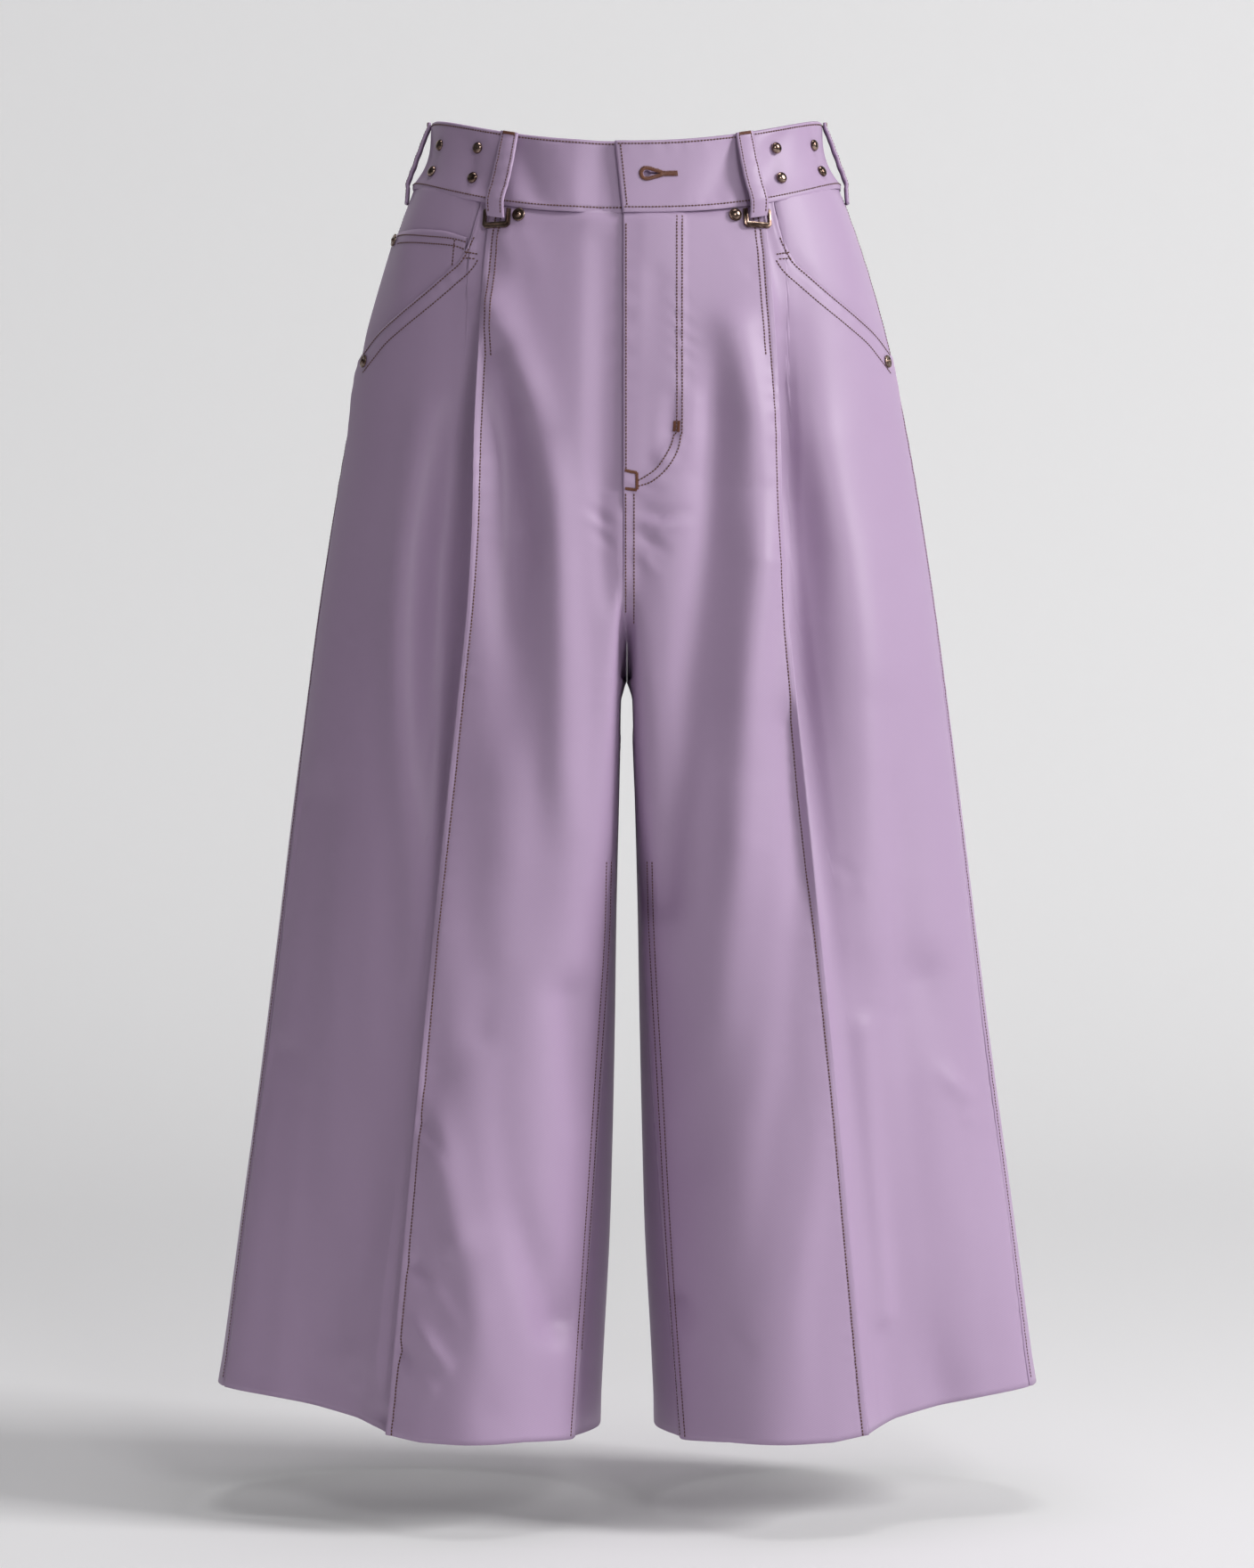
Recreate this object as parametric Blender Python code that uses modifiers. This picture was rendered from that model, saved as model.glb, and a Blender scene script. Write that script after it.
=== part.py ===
"""Wide-leg high-waisted culottes, filled out with no wearer.

Metres, +Z up, the front faces -Y, the wearer's left is +X.  The origin is the middle of the
waist at half the height of the waistband's sides.  Every panel is a loft through level sections
of one leg; the other leg is its mirror image with its own edges.
"""
import math

import bmesh
import bpy
import numpy as np
from mathutils import Matrix, Vector

# ---------------------------------------------------------------- driving dimensions (metres)
CLOTH = 0.0014            # wall of a single panel
COIN_WALL = 0.0012        # wall of the coin pocket
BAND_WALL = 0.0026        # folded waistband
STRAP_WALL = 0.0016       # folded belt loop
SEAM_GAP = 0.0004         # space between neighbouring pieces
WAIST_GAP = 0.0007        # space along the curved waist seam
HALF_SEAM = SEAM_GAP / 2
CLEFT_SEAM = 0.0003       # half the space between the legs' panels along the fork

BAND_TOP_FRONT = -0.003   # heights of the waistband's edges at the front, side and back
BAND_TOP_SIDE = 0.0215
BAND_TOP_BACK = 0.0225
BAND_LOW_FRONT = -0.049
BAND_LOW_SIDE = -0.0218
BAND_LOW_BACK = -0.0205
BAND_TOP_HALF_WIDTH = 0.1269
BAND_LOW_HALF_WIDTH = 0.1387
BAND_TOP_FRONT_DEPTH = 0.0862
BAND_LOW_FRONT_DEPTH = 0.0912
BAND_TOP_BACK_DEPTH = 0.0835
BAND_LOW_BACK_DEPTH = 0.0896
WELT = 0.0012             # how far the rounded lower edge stands out
WELT_PART = 0.08          # its share of the band's height
OVERLAP_TOP_X = -0.0078   # end of the waistband's overlap, top and bottom
OVERLAP_LOW_X = -0.0026
UNDERLAP_X = 0.030        # where the band runs to beneath the overlap
UNDERLAP_DEPTH = 0.0033

FLY_EDGE_X = -0.0026      # edge of the left front along the fly
FLY_END = -0.2245         # foot of the fly opening
FLY_UNDER_X = 0.010       # right front runs on beneath the fly
FLY_UNDER_DEPTH = 0.0019
SEAM_LEAVES = -0.285      # below the fly its edge stays put to here
SEAM_SETTLES = -0.322     # and reaches the middle line here

FORK_START_FRONT = -0.278  # the centre seams start to curve under here
FORK_START_BACK = -0.225
CROTCH = -0.340
CROTCH_Y = -0.005
NOTCH_HALF = 0.0032       # half the narrow valley between the legs above the crotch
NOTCH_DEPTH = 0.030       # depth at which that valley has its full width
INNER_LEG_FLATNESS = 0.35  # how little the inner leg rounds off behind the inseam

PANEL_TOP_FRONT = -0.049  # heights between which the rows of the long panels are spread
PANEL_TOP_BACK = -0.021
PANEL_FOOT = -0.817
NEAR_WAIST = -0.045       # first guesses for where a panel meets the waist, a pocket and the hem
NEAR_POCKET = -0.060
NEAR_HEM = -0.812
SEARCH = 0.12             # how far either side of a guess the line is looked for
HALVINGS = 34             # and how often that stretch is halved

MOUTH_RISE = {"left": 0.0021, "right": 0.0040}   # how far the pocket mouths stand out
MOUTH_RISE_REACH = 0.030  # and how far down the panel that fades
FACING_DEPTH = 0.024      # hip facing and coin pocket run on this far beneath the mouth
COIN_DEPTH = 0.008
FACING_SINKS = (0.0008, 0.0010, 0.0018)   # facing's steps inwards: at the mouth, below it, at the pleat

LOOP_WIDTH = 0.0122
LOOP_SPACE = 0.0003       # extra space between a loop's top and the band's edge
LOOP_RISE = 0.0009        # how far its fold stands above the band
LOOP_STAND = 0.0088       # how far a belt loop's outer face stands off the band, front and back
SIDE_LOOP_STAND = 0.0084

STUD_RADIUS = 0.0035
RIVET_RADIUS = 0.0042
KEEPER_WIDTH = 0.0188
KEEPER_HEIGHT = 0.0120
KEEPER_DEPTH = 0.0026
KEEPER_ARM = 0.0024
KEEPER_BAR = 0.0044
KEEPER_BEVEL = 0.0005
KEEPER_MIDDLE = -0.0512   # height of the keepers' middle
RIVET_LIFT = 0.0006       # rivets and studs stand this far off the cloth beneath
STUD_LIFT = 0.0005

BUTTONHOLE_X = (0.0075, 0.0330)
BUTTONHOLE_Z = -0.0245
BUTTONHOLE_EYE = 0.0019
BUTTONHOLE_SLIT = 0.0007
CUTTER_Y = -0.0880        # middle and depth of the cutters, across the band's front
CUTTER_DEPTH = 0.014

LEVEL = 1e-6              # heights closer than this count as one
TINY = 1e-9               # keeps a division by a length from being one by zero

# ---------------------------------------------------------------- section tables (millimetres)
# One row per level section.  Columns: height, then x and y of each named point of the plan.
# Angles of the same points on the waist, in degrees from the side; the front is negative.
CENTRE_ANGLES = (-85.3, -79.0, -70.3, -61.9, -53.9)
CENTRE_ROWS = (
    # z,    corner,     inner,       middle,      outer,        crease
    (-110, 12, -98.0, 30, -97.6, 52, -95.0, 74, -91.0, 92.8, -85.5),
    (-180, 11, -104.0, 29, -104.2, 54, -102.3, 77, -98.5, 96.8, -93.0),
    (-250, 9, -107.5, 26, -108.7, 53, -107.8, 78, -104.2, 98.4, -98.3),
    (-300, 7.5, -107.5, 24, -110.6, 53, -110.8, 80, -107.2, 101.4, -101.0),
    (-340, 7.5, -104.0, 24, -111.0, 54, -112.2, 83, -108.8, 105.4, -102.8),
    (-420, 11, -95.0, 29, -108.0, 61, -112.3, 90, -109.4, 113.8, -103.4),
    (-560, 24, -82.0, 46, -100.5, 78, -109.8, 106, -107.3, 128.0, -102.0),
    (-700, 38, -87.0, 60, -103.8, 88, -111.6, 117, -106.8, 141.0, -99.0),
    (-840, 51, -91.5, 68, -105.0, 96, -114.2, 128, -107.2, 154.2, -94.8),
)
SIDE_ANGLES = (-53.7, -51.2, -47.2, -37.5, -21.0, -1.3)
SIDE_INSET = (2.1, 2.0, 1.5, 0.6, 0.0, 0.0)   # how far the tucked pleat lies in at the waist
SIDE_ROWS = (
    # z,    tuck,         in,          valley,      ridge,       outer,       side seam
    (-110, 92.2, -83.2, 97, -76.5, 107, -70.5, 128, -58.5, 150, -36.0, 166.0, -2),
    (-180, 96.1, -90.6, 101, -79.0, 112, -73.5, 135, -63.0, 162, -37.5, 180.6, -4),
    (-250, 97.7, -95.9, 103, -82.5, 114, -76.5, 141, -68.0, 170, -43.0, 192.0, -8),
    (-300, 100.7, -98.6, 106, -85.5, 118, -79.5, 146, -71.5, 176, -46.0, 199.0, -11),
    (-340, 104.7, -100.4, 110, -87.5, 122, -82.0, 150, -73.5, 181, -48.0, 204.0, -13),
    (-420, 113.1, -101.0, 119, -90.5, 131, -84.5, 158, -74.0, 190, -49.0, 213.5, -15),
    (-560, 127.3, -99.6, 134, -90.0, 145, -82.5, 172, -69.5, 205, -48.0, 230.2, -16),
    (-700, 140.3, -96.6, 148, -84.0, 158, -74.0, 186, -59.5, 221, -43.0, 248.3, -17),
    (-840, 153.5, -92.4, 162, -76.5, 172, -62.5, 201, -45.0, 236, -35.0, 265.0, -18),
)
BACK_ANGLES = (7.0, 25.0, 43.0, 59.5, 73.5, 84.5)
BACK_ROWS = (
    # z,    flank,     hip,       outer,     seat,      inner,     corner
    (-110, 166.3, 14, 157, 50, 130, 82, 91, 101, 50, 109, 15, 111),
    (-180, 181.0, 16, 174, 56, 147, 91, 104, 112, 57, 120, 16, 122),
    (-250, 193.0, 17, 186, 60, 160, 97, 114, 118, 62, 126, 14, 127),
    (-300, 200.5, 18, 193, 62, 167, 99, 119, 121, 64, 128, 11, 126),
    (-340, 206.0, 18, 198, 63, 172, 100, 123, 122, 66, 129, 10, 121),
    (-420, 217.0, 18, 209, 64, 181, 101, 130, 122, 73, 126, 18, 106),
    (-560, 234.3, 18, 226, 66, 194, 104, 142, 125, 84, 124, 36, 99),
    (-700, 253.6, 18, 245, 68, 210, 107, 155, 128, 96, 126, 46, 99),
    (-840, 271.8, 18, 262, 70, 225, 110, 168, 130, 107, 128, 55, 101),
)
WAIST_ROWS = (
    # z,  half width, front depth, back depth of the ellipse that the panels leave the band on
    (-10, 133.5, 87.0, 87.4),
    (-50, 148.4, 91.3, 95.5),
)
INSEAM_ROWS = (
    # z,   inseam x, inseam y, inner wall x
    (-340, 0.15, -5, 2.6),
    (-349, 3.2, -9, 3.2),
    (-380, 4.2, -20, 4.0),
    (-420, 5.6, -30, 4.9),
    (-480, 8.8, -40, 6.2),
    (-560, 13.0, -47, 7.3),
    (-640, 18.5, -52, 9.2),
    (-700, 23.0, -56, 11.2),
    (-765, 28.5, -59, 15.0),
    (-840, 34.8, -62, 18.9),
)
POCKET_MOUTH = (
    # x,   z of the slanted pocket's edge, from the waist to the side seam
    (92.6, -34), (95.9, -53), (98.4, -61), (101.9, -69), (106.5, -76.5), (115, -83.5),
    (129, -94.5), (146, -106.5), (160.5, -117), (170.5, -127), (182, -139),
)
COIN_TOP = ((90, -64), (100, -62), (115, -56.3), (133, -52.5), (146, -51.5), (160, -51.5))
HEM = (
    # x,   z of the lower edge across one leg, front
    (15, -821.5), (33, -819), (64, -815.8), (100, -816), (128, -815.5), (150, -812.5), (170, -807),
    (198, -802), (228, -797.5), (256, -794.5), (272, -793.5),
)


# ---------------------------------------------------------------- curves and sections
def ease(t):
    """0 to 1 with level ends."""
    t = np.clip(t, 0.0, 1.0)
    return t * t * (3 - 2 * t)


def smooth_rows(rows, z):
    """Every column of a table at the heights z, on one smooth curve through its rows."""
    table = np.array(rows, float)[::-1] / 1000.0
    level = table[:, 0]
    values = table[:, 1:]
    steps = np.diff(level)[:, None]
    slopes = np.diff(values, axis=0) / steps
    tangents = np.empty_like(values)
    tangents[1:-1] = (slopes[:-1] * steps[1:] + slopes[1:] * steps[:-1]) / (steps[:-1] + steps[1:])
    tangents[0] = slopes[0]
    tangents[-1] = slopes[-1]
    z = np.clip(z, level[0], level[-1])
    i = np.clip(np.searchsorted(level, z) - 1, 0, len(level) - 2)
    h = (level[i + 1] - level[i])[:, None]
    t = ((z - level[i]) / h[:, 0])[:, None]
    return ((2 * t**3 - 3 * t**2 + 1) * values[i] + (t**3 - 2 * t**2 + t) * h * tangents[i]
            + (3 * t**2 - 2 * t**3) * values[i + 1] + (t**3 - t**2) * h * tangents[i + 1])


def waist_row(row, angles, insets):
    """Points of one waist ellipse at the given angles, moved in by their insets."""
    level, half_width, front, back = row
    line = [level]
    for angle, inset in zip(angles, insets):
        turn = math.radians(angle)
        depth = front if angle < 0 else back
        line.append((half_width - inset) * math.cos(turn))
        line.append((depth - inset) * math.sin(turn))
    return line


def with_waist(rows, angles, insets=None):
    insets = insets or [0.0] * len(angles)
    return [waist_row(row, angles, insets) for row in WAIST_ROWS] + [list(row) for row in rows]


CENTRE_TABLE = with_waist(CENTRE_ROWS, CENTRE_ANGLES)
SIDE_TABLE = with_waist(SIDE_ROWS, SIDE_ANGLES, SIDE_INSET)
BACK_TABLE = with_waist(BACK_ROWS, BACK_ANGLES)


def fork_curve(z, start, surface_y):
    """Depth of a centre seam: level with the surface, then a quarter ellipse to the crotch."""
    drop = np.clip((start - z) / (start - CROTCH), 0.0, 1.0)
    return CROTCH_Y + (surface_y - CROTCH_Y) * np.sqrt(np.clip(1 - drop**2, 0, 1))


def seam_points(z, corner, start, edge_x):
    """Seam and two points between it and the corner, at the heights z: the valley's wall above
    the crotch; below it the inner leg, rounded in front of the inseam and flatter behind."""
    inseam = smooth_rows(INSEAM_ROWS, z)
    above = z >= CROTCH - LEVEL
    seam_y = np.where(above, fork_curve(z, start, corner[:, 1]), inseam[:, 1])
    seam_x = np.where(above, edge_x, inseam[:, 0])
    depth = np.abs(seam_y - corner[:, 1])
    notch = ease(depth / NOTCH_DEPTH)
    points = [np.stack([seam_x, seam_y], 1)]
    for part in (1 / 3, 2 / 3):
        flat_x = seam_x + (corner[:, 0] - seam_x) * part
        behind = inseam[:, 2] + INNER_LEG_FLATNESS * part**2 * (corner[:, 0] - inseam[:, 2])
        round_share = 1 - math.sqrt(1 - part**2)
        before = inseam[:, 0] + round_share * (corner[:, 0] - inseam[:, 0])
        leg_x = np.where(corner[:, 1] < 0, before, behind)
        x = np.where(above, flat_x * (1 - notch) + NOTCH_HALF * notch, leg_x)
        y = seam_y + (corner[:, 1] - seam_y) * part
        points.append(np.stack([x, y], 1))
    return points


def settled(z):
    """0 along the fly, 1 where the centre-front seam has come to the middle line."""
    return ease((SEAM_LEAVES - z) / (SEAM_LEAVES - SEAM_SETTLES))


def left_seam_x(z):
    return FLY_EDGE_X + (CLEFT_SEAM - FLY_EDGE_X) * settled(z)


def right_seam_x(z):
    """Right front, measured away from the middle: beneath the fly, then meeting the left."""
    space = SEAM_GAP + (2 * CLEFT_SEAM - SEAM_GAP) * settled(z)
    return np.where(z > FLY_END, -FLY_UNDER_X, space - left_seam_x(z))


def before_seam(z, seam, after, beyond):
    """Point that sets a panel's slope at its inner seam: its mirror image above the crotch,
    the neighbouring panel's own point below it."""
    mirrored = np.stack([2 * seam[:, 0] - after[:, 0], after[:, 1]], 1)
    return np.where((z >= CROTCH - LEVEL)[:, None], mirrored, beyond)


def centre_knots(z, edge_x):
    """Plan points of the centre front from its inner seam to the crease, seven per height."""
    table = smooth_rows(CENTRE_TABLE, z)
    corner = table[:, 0:2]
    seam = seam_points(z, corner, FORK_START_FRONT, edge_x)
    knots = [seam[0], (seam[1] + seam[2]) / 2] + [table[:, k:k + 2] for k in range(0, 10, 2)]
    back = smooth_rows(BACK_TABLE, z)[:, 10:12]
    behind = seam_points(z, back, FORK_START_BACK, np.full_like(z, CLEFT_SEAM))[1]
    end = 2 * knots[-1] - knots[-2]
    return np.stack([before_seam(z, knots[0], knots[1], behind)] + knots + [end], 1)


def round_knots(z):
    """Plan points from the pleat's tuck past the side seam and round the back, 15 per height."""
    side = smooth_rows(SIDE_TABLE, z)
    back = smooth_rows(BACK_TABLE, z)
    corner = back[:, 10:12]
    seam = seam_points(z, corner, FORK_START_BACK, np.full_like(z, CLEFT_SEAM))
    knots = [side[:, k:k + 2] for k in range(0, 12, 2)]
    knots += [back[:, k:k + 2] for k in range(0, 12, 2)]
    knots += [seam[2], seam[1], seam[0]]
    front = smooth_rows(CENTRE_TABLE, z)[:, 0:2]
    ahead = seam_points(z, front, FORK_START_FRONT, left_seam_x(z))
    end = before_seam(z, seam[0], seam[1], (ahead[1] + ahead[2]) / 2)
    start = 2 * knots[0] - knots[1]
    return np.stack([start] + knots + [end], 1)


def through(knots, u):
    """Smooth curve through the plan points: position and outward normal at the index u.
    The first and last points only set the slope at the ends."""
    i = np.clip(np.floor(u).astype(int), 0, knots.shape[1] - 4) + 1
    row = np.arange(len(u))
    p0, p1, p2, p3 = (knots[row, i + k] for k in (-1, 0, 1, 2))
    spans = ((p0, p1), (p1, p2), (p2, p3))
    d = [np.sqrt(np.linalg.norm(b - a, axis=1) + TINY)[:, None] for a, b in spans]
    m1 = ((p1 - p0) / d[0] * d[1] + (p2 - p1) / d[1] * d[0]) / (d[0] + d[1]) * d[1]
    m2 = ((p2 - p1) / d[1] * d[2] + (p3 - p2) / d[2] * d[1]) / (d[1] + d[2]) * d[1]
    t = (u - (i - 1))[:, None]
    place = ((2 * t**3 - 3 * t**2 + 1) * p1 + (t**3 - 2 * t**2 + t) * m1
             + (3 * t**2 - 2 * t**3) * p2 + (t**3 - t**2) * m2)
    along = ((6 * t**2 - 6 * t) * p1 + (3 * t**2 - 4 * t + 1) * m1
             + (6 * t - 6 * t**2) * p2 + (3 * t**2 - 2 * t) * m2)
    along = along / (np.linalg.norm(along, axis=1)[:, None] + TINY)
    return place, np.stack([along[:, 1], -along[:, 0]], 1)


def band_angle(x, y):
    """Angle round the waist of a plan point, from the side; the front is negative."""
    depth = np.where(y < 0, BAND_LOW_FRONT_DEPTH, BAND_LOW_BACK_DEPTH)
    return np.arctan2(y / depth, np.abs(x) / BAND_LOW_HALF_WIDTH)


def band_low(angle):
    c = np.abs(np.cos(angle))
    end = np.where(angle < 0, BAND_LOW_FRONT, BAND_LOW_BACK)
    return end + (BAND_LOW_SIDE - end) * c**2.5


def band_top(angle):
    c = np.abs(np.cos(angle))
    end = np.where(angle < 0, BAND_TOP_FRONT, BAND_TOP_BACK)
    return end + (BAND_TOP_SIDE - end) * c**2.2


def lookup(table, x):
    data = np.array(table, float) / 1000.0
    return np.interp(x, data[:, 0], data[:, 1])


def settle(place, u, level_of, start):
    """Height at which a column of the surface meets a line given as a function of its point."""
    high = np.full(len(u), start + SEARCH)
    low = high - 2 * SEARCH
    for _ in range(HALVINGS):
        middle = (high + low) / 2
        point, _ = place(u, middle)
        over = middle > level_of(point[:, 0], point[:, 1])
        high = np.where(over, middle, high)
        low = np.where(over, low, middle)
    return (high + low) / 2


def centre_left(u, z):
    return through(centre_knots(z, left_seam_x(z)), u)


def centre_right(u, z):
    place, out = through(centre_knots(z, right_seam_x(z)), u)
    fade = ease((z - (FLY_END - 0.020)) / 0.020) * ease((0.030 - place[:, 0]) / 0.022)
    return place - out * (FLY_UNDER_DEPTH * fade)[:, None], out


def around(u, z):
    return through(round_knots(z), u)


def waist_line(x, y):
    return band_low(band_angle(x, y)) - WAIST_GAP


def hem_line(x, y):
    return lookup(HEM, x)


def mouth_line(x, y):
    return np.minimum(lookup(POCKET_MOUTH, x), waist_line(x, y))


def mouth_distance(x, z):
    """Distance below (+) or above (-) the pocket mouth, across the slant."""
    line = np.array(POCKET_MOUTH, float) / 1000.0
    best = np.full(len(x), 1.0)
    for a, b in zip(line[:-1], line[1:]):
        step = b - a
        t = np.clip(((x - a[0]) * step[0] + (z - a[1]) * step[1]) / step.dot(step), 0, 1)
        gap = np.hypot(x - a[0] - t * step[0], z - a[1] - t * step[1])
        best = np.minimum(best, gap)
    return np.where(z < np.interp(x, line[:, 0], line[:, 1]), best, -best)


def side_front(lift):
    """Side-front panel: its pocket mouth stands out from the facing by the lift, which fades
    below the mouth, towards the pleat and towards the waist."""
    def place(u, z):
        point, out = around(u, z)
        below = np.abs(mouth_distance(point[:, 0], z))
        rise = lift * np.exp(-(below / MOUTH_RISE_REACH) ** 2) * ease(u / 1.5)
        rise = rise * ease((-0.040 - z) / 0.030)
        return point + out * rise[:, None], out
    return place


def facing(u, z):
    """Hip facing: on the surface above the pocket mouth, sinking beneath the side front."""
    point, out = around(u, z)
    below = mouth_distance(point[:, 0], z)
    at_mouth, beneath, at_pleat = FACING_SINKS
    sink = at_mouth * ease((below + 0.008) / 0.012) + beneath * ease(below / 0.025)
    sink = sink + at_pleat * ease((2.0 - u) / 0.9)
    return point - out * sink[:, None], out


def coin(u, z):
    """Coin pocket: on the facing, one cloth higher."""
    point, out = facing(u, z)
    return point + out * (CLOTH + 2 * SEAM_GAP), out


def level_grid(place, columns, rows, top, bottom, start_top, start_bottom):
    """Points of a panel: columns between its edges, rows from its upper to its lower line."""
    columns = np.array(columns, float)
    upper = settle(place, columns, top, start_top)
    lower = settle(place, columns, bottom, start_bottom)
    grid = []
    for part in rows:
        z = upper + (lower - upper) * part
        point, _ = place(columns, z)
        grid.append(np.column_stack([point, z]))
    return np.array(grid)


# ---------------------------------------------------------------- pieces
main = bpy.context.scene.collection
for old in list(bpy.data.objects):
    bpy.data.objects.remove(old, do_unlink=True)
garment = bpy.data.collections.new("culottes")
cutters = bpy.data.collections.new("cutters")
main.children.link(garment)
main.children.link(cutters)


def material(name, colour, roughness, metallic):
    mat = bpy.data.materials.new(name)
    mat.use_nodes = True
    shader = mat.node_tree.nodes["Principled BSDF"]
    shader.inputs["Base Color"].default_value = (*colour, 1.0)
    shader.inputs["Roughness"].default_value = roughness
    shader.inputs["Metallic"].default_value = metallic
    mat.diffuse_color = (*colour, 1.0)
    return mat


def lilac(name, shade=1.0):
    return material(name, (0.46 * shade, 0.35 * shade, 0.49 * shade), 0.42, 0.0)


def copper(name, shade=1.0):
    return material(name, (0.20 * shade, 0.105 * shade, 0.060 * shade), 0.38, 0.9)


def show(name, mesh, mat, smooth=True):
    obj = bpy.data.objects.new(name, mesh)
    garment.objects.link(obj)
    mesh.materials.append(mat)
    for face in mesh.polygons:
        face.use_smooth = smooth
    return obj


def sheet_mesh(name, grid, mirrored):
    """Quads through a grid of points, facing out of the garment."""
    rows, cols, _ = grid.shape
    points = grid.reshape(-1, 3).copy()
    if mirrored:
        points[:, 0] *= -1
    faces = []
    for r in range(rows - 1):
        for c in range(cols - 1):
            a = r * cols + c
            quad = (a, a + cols, a + cols + 1, a + 1)
            faces.append(quad[::-1] if mirrored else quad)
    mesh = bpy.data.meshes.new(name)
    mesh.from_pydata([tuple(p) for p in points], [], faces)
    mesh.update()
    return mesh


def cloth(name, grid, mat, mirrored=False, wall=CLOTH):
    """A panel as a closed wall, its thickness laid inwards from the outer face."""
    obj = show(name, sheet_mesh(name, grid, mirrored), mat)
    solid = obj.modifiers.new("wall", "SOLIDIFY")
    solid.thickness = wall
    solid.offset = -1.0
    solid.use_even_offset = True
    solid.use_quality_normals = True
    return obj


FORK_TURNS = (0, 22, 38, 52, 66, 78, 90)   # degrees round a centre seam's curve


def fork_rows(top, start, hem, before, after):
    """Row fractions down a panel: even, then along the fork's curve, then even to the hem."""
    heights = list(np.linspace(top, start, before, endpoint=False))
    heights += [start + (CROTCH - start) * math.sin(math.radians(turn)) for turn in FORK_TURNS]
    heights += [CROTCH - 0.010, CROTCH - 0.035]
    heights += list(np.linspace(CROTCH - 0.080, hem, after))
    return [(h - top) / (hem - top) for h in heights]


# Centre fronts: from the inner seam to the crease edge, waist to hem.
CENTRE_COLUMNS = (0.008, 0.5, 1, 1.5, 2, 2.4, 3, 3.6, 4.3, 5, 5.6, 6)
FLY_END_ROWS = (FLY_END + 0.001, FLY_END - 0.001)   # two rows close together where the fly ends
left_rows = fork_rows(PANEL_TOP_FRONT, FORK_START_FRONT, PANEL_FOOT, 9, 8)
left_grid = level_grid(centre_left, CENTRE_COLUMNS, left_rows, waist_line, hem_line,
                       NEAR_WAIST, NEAR_HEM)
fly_rows = [(z - PANEL_TOP_FRONT) / (PANEL_FOOT - PANEL_TOP_FRONT) for z in FLY_END_ROWS]
right_rows = sorted(left_rows + fly_rows)
right_grid = level_grid(centre_right, CENTRE_COLUMNS, right_rows, waist_line, hem_line,
                        NEAR_WAIST, NEAR_HEM)
cloth("front_centre_left", left_grid, lilac("cloth_front_centre_left"))
cloth("front_centre_right", right_grid, lilac("cloth_front_centre_right"), mirrored=True)

# Side fronts: from the tuck to the side seam, pocket mouth to hem.
SIDE_COLUMNS = (0, 0.5, 1, 1.35, 1.7, 2, 2.4, 3, 3.5, 4, 4.4, 4.7, 4.986)
SIDE_PARTS = (0, 0.02, 0.05, 0.10, 0.16, 0.23, 0.30, 0.37, 0.45, 0.54, 0.63, 0.72, 0.81, 0.90, 1.0)
for side_name, rise in MOUTH_RISE.items():
    grid = level_grid(side_front(rise), SIDE_COLUMNS, SIDE_PARTS, mouth_line, hem_line,
                      NEAR_POCKET, NEAR_HEM)
    mat = lilac("cloth_front_side_" + side_name)
    cloth("front_side_" + side_name, grid, mat, side_name == "right")

# Hip facings inside the pocket mouths.
FACING_COLUMNS = (1.05, 1.5, 1.8, 2.1, 2.6, 3.2, 3.8, 4.4, 4.986)
FACING_PARTS = (0, 0.25, 0.5, 0.75, 1.0)


def facing_foot(x, y):
    return lookup(POCKET_MOUTH, x) - FACING_DEPTH


for side_name in ("left", "right"):
    grid = level_grid(facing, FACING_COLUMNS, FACING_PARTS, waist_line, facing_foot,
                      NEAR_WAIST, NEAR_POCKET - FACING_DEPTH)
    mat = lilac("cloth_facing_" + side_name, 0.9)
    cloth("hip_facing_" + side_name, grid, mat, side_name == "right")


def coin_upper(x, y):
    return lookup(COIN_TOP, x)


def coin_foot(x, y):
    return lookup(POCKET_MOUTH, x) - COIN_DEPTH


COIN_COLUMNS = (1.85, 2.2, 2.7, 3.2, 3.8, 4.4, 4.986)
COIN_PARTS = (0, 0.33, 0.67, 1.0)
coin_grid = level_grid(coin, COIN_COLUMNS, COIN_PARTS, coin_upper, coin_foot,
                       NEAR_POCKET, NEAR_POCKET - FACING_DEPTH)
cloth("coin_pocket", coin_grid, lilac("cloth_coin_pocket", 0.95), True, COIN_WALL)

# Backs: from the side seam round to the centre-back seam and the inseam.
BACK_COLUMNS = (5.014, 5.5, 6, 6.6, 7.3, 8, 8.7, 9.4, 10, 10.5, 11, 11.5, 12, 13, 13.992)
back_rows = fork_rows(PANEL_TOP_BACK, FORK_START_BACK, PANEL_FOOT, 7, 8)
back_grid = level_grid(around, BACK_COLUMNS, back_rows, waist_line, hem_line,
                       NEAR_WAIST, NEAR_HEM)
for side_name in ("left", "right"):
    cloth("back_" + side_name, back_grid, lilac("cloth_back_" + side_name), side_name == "right")


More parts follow.
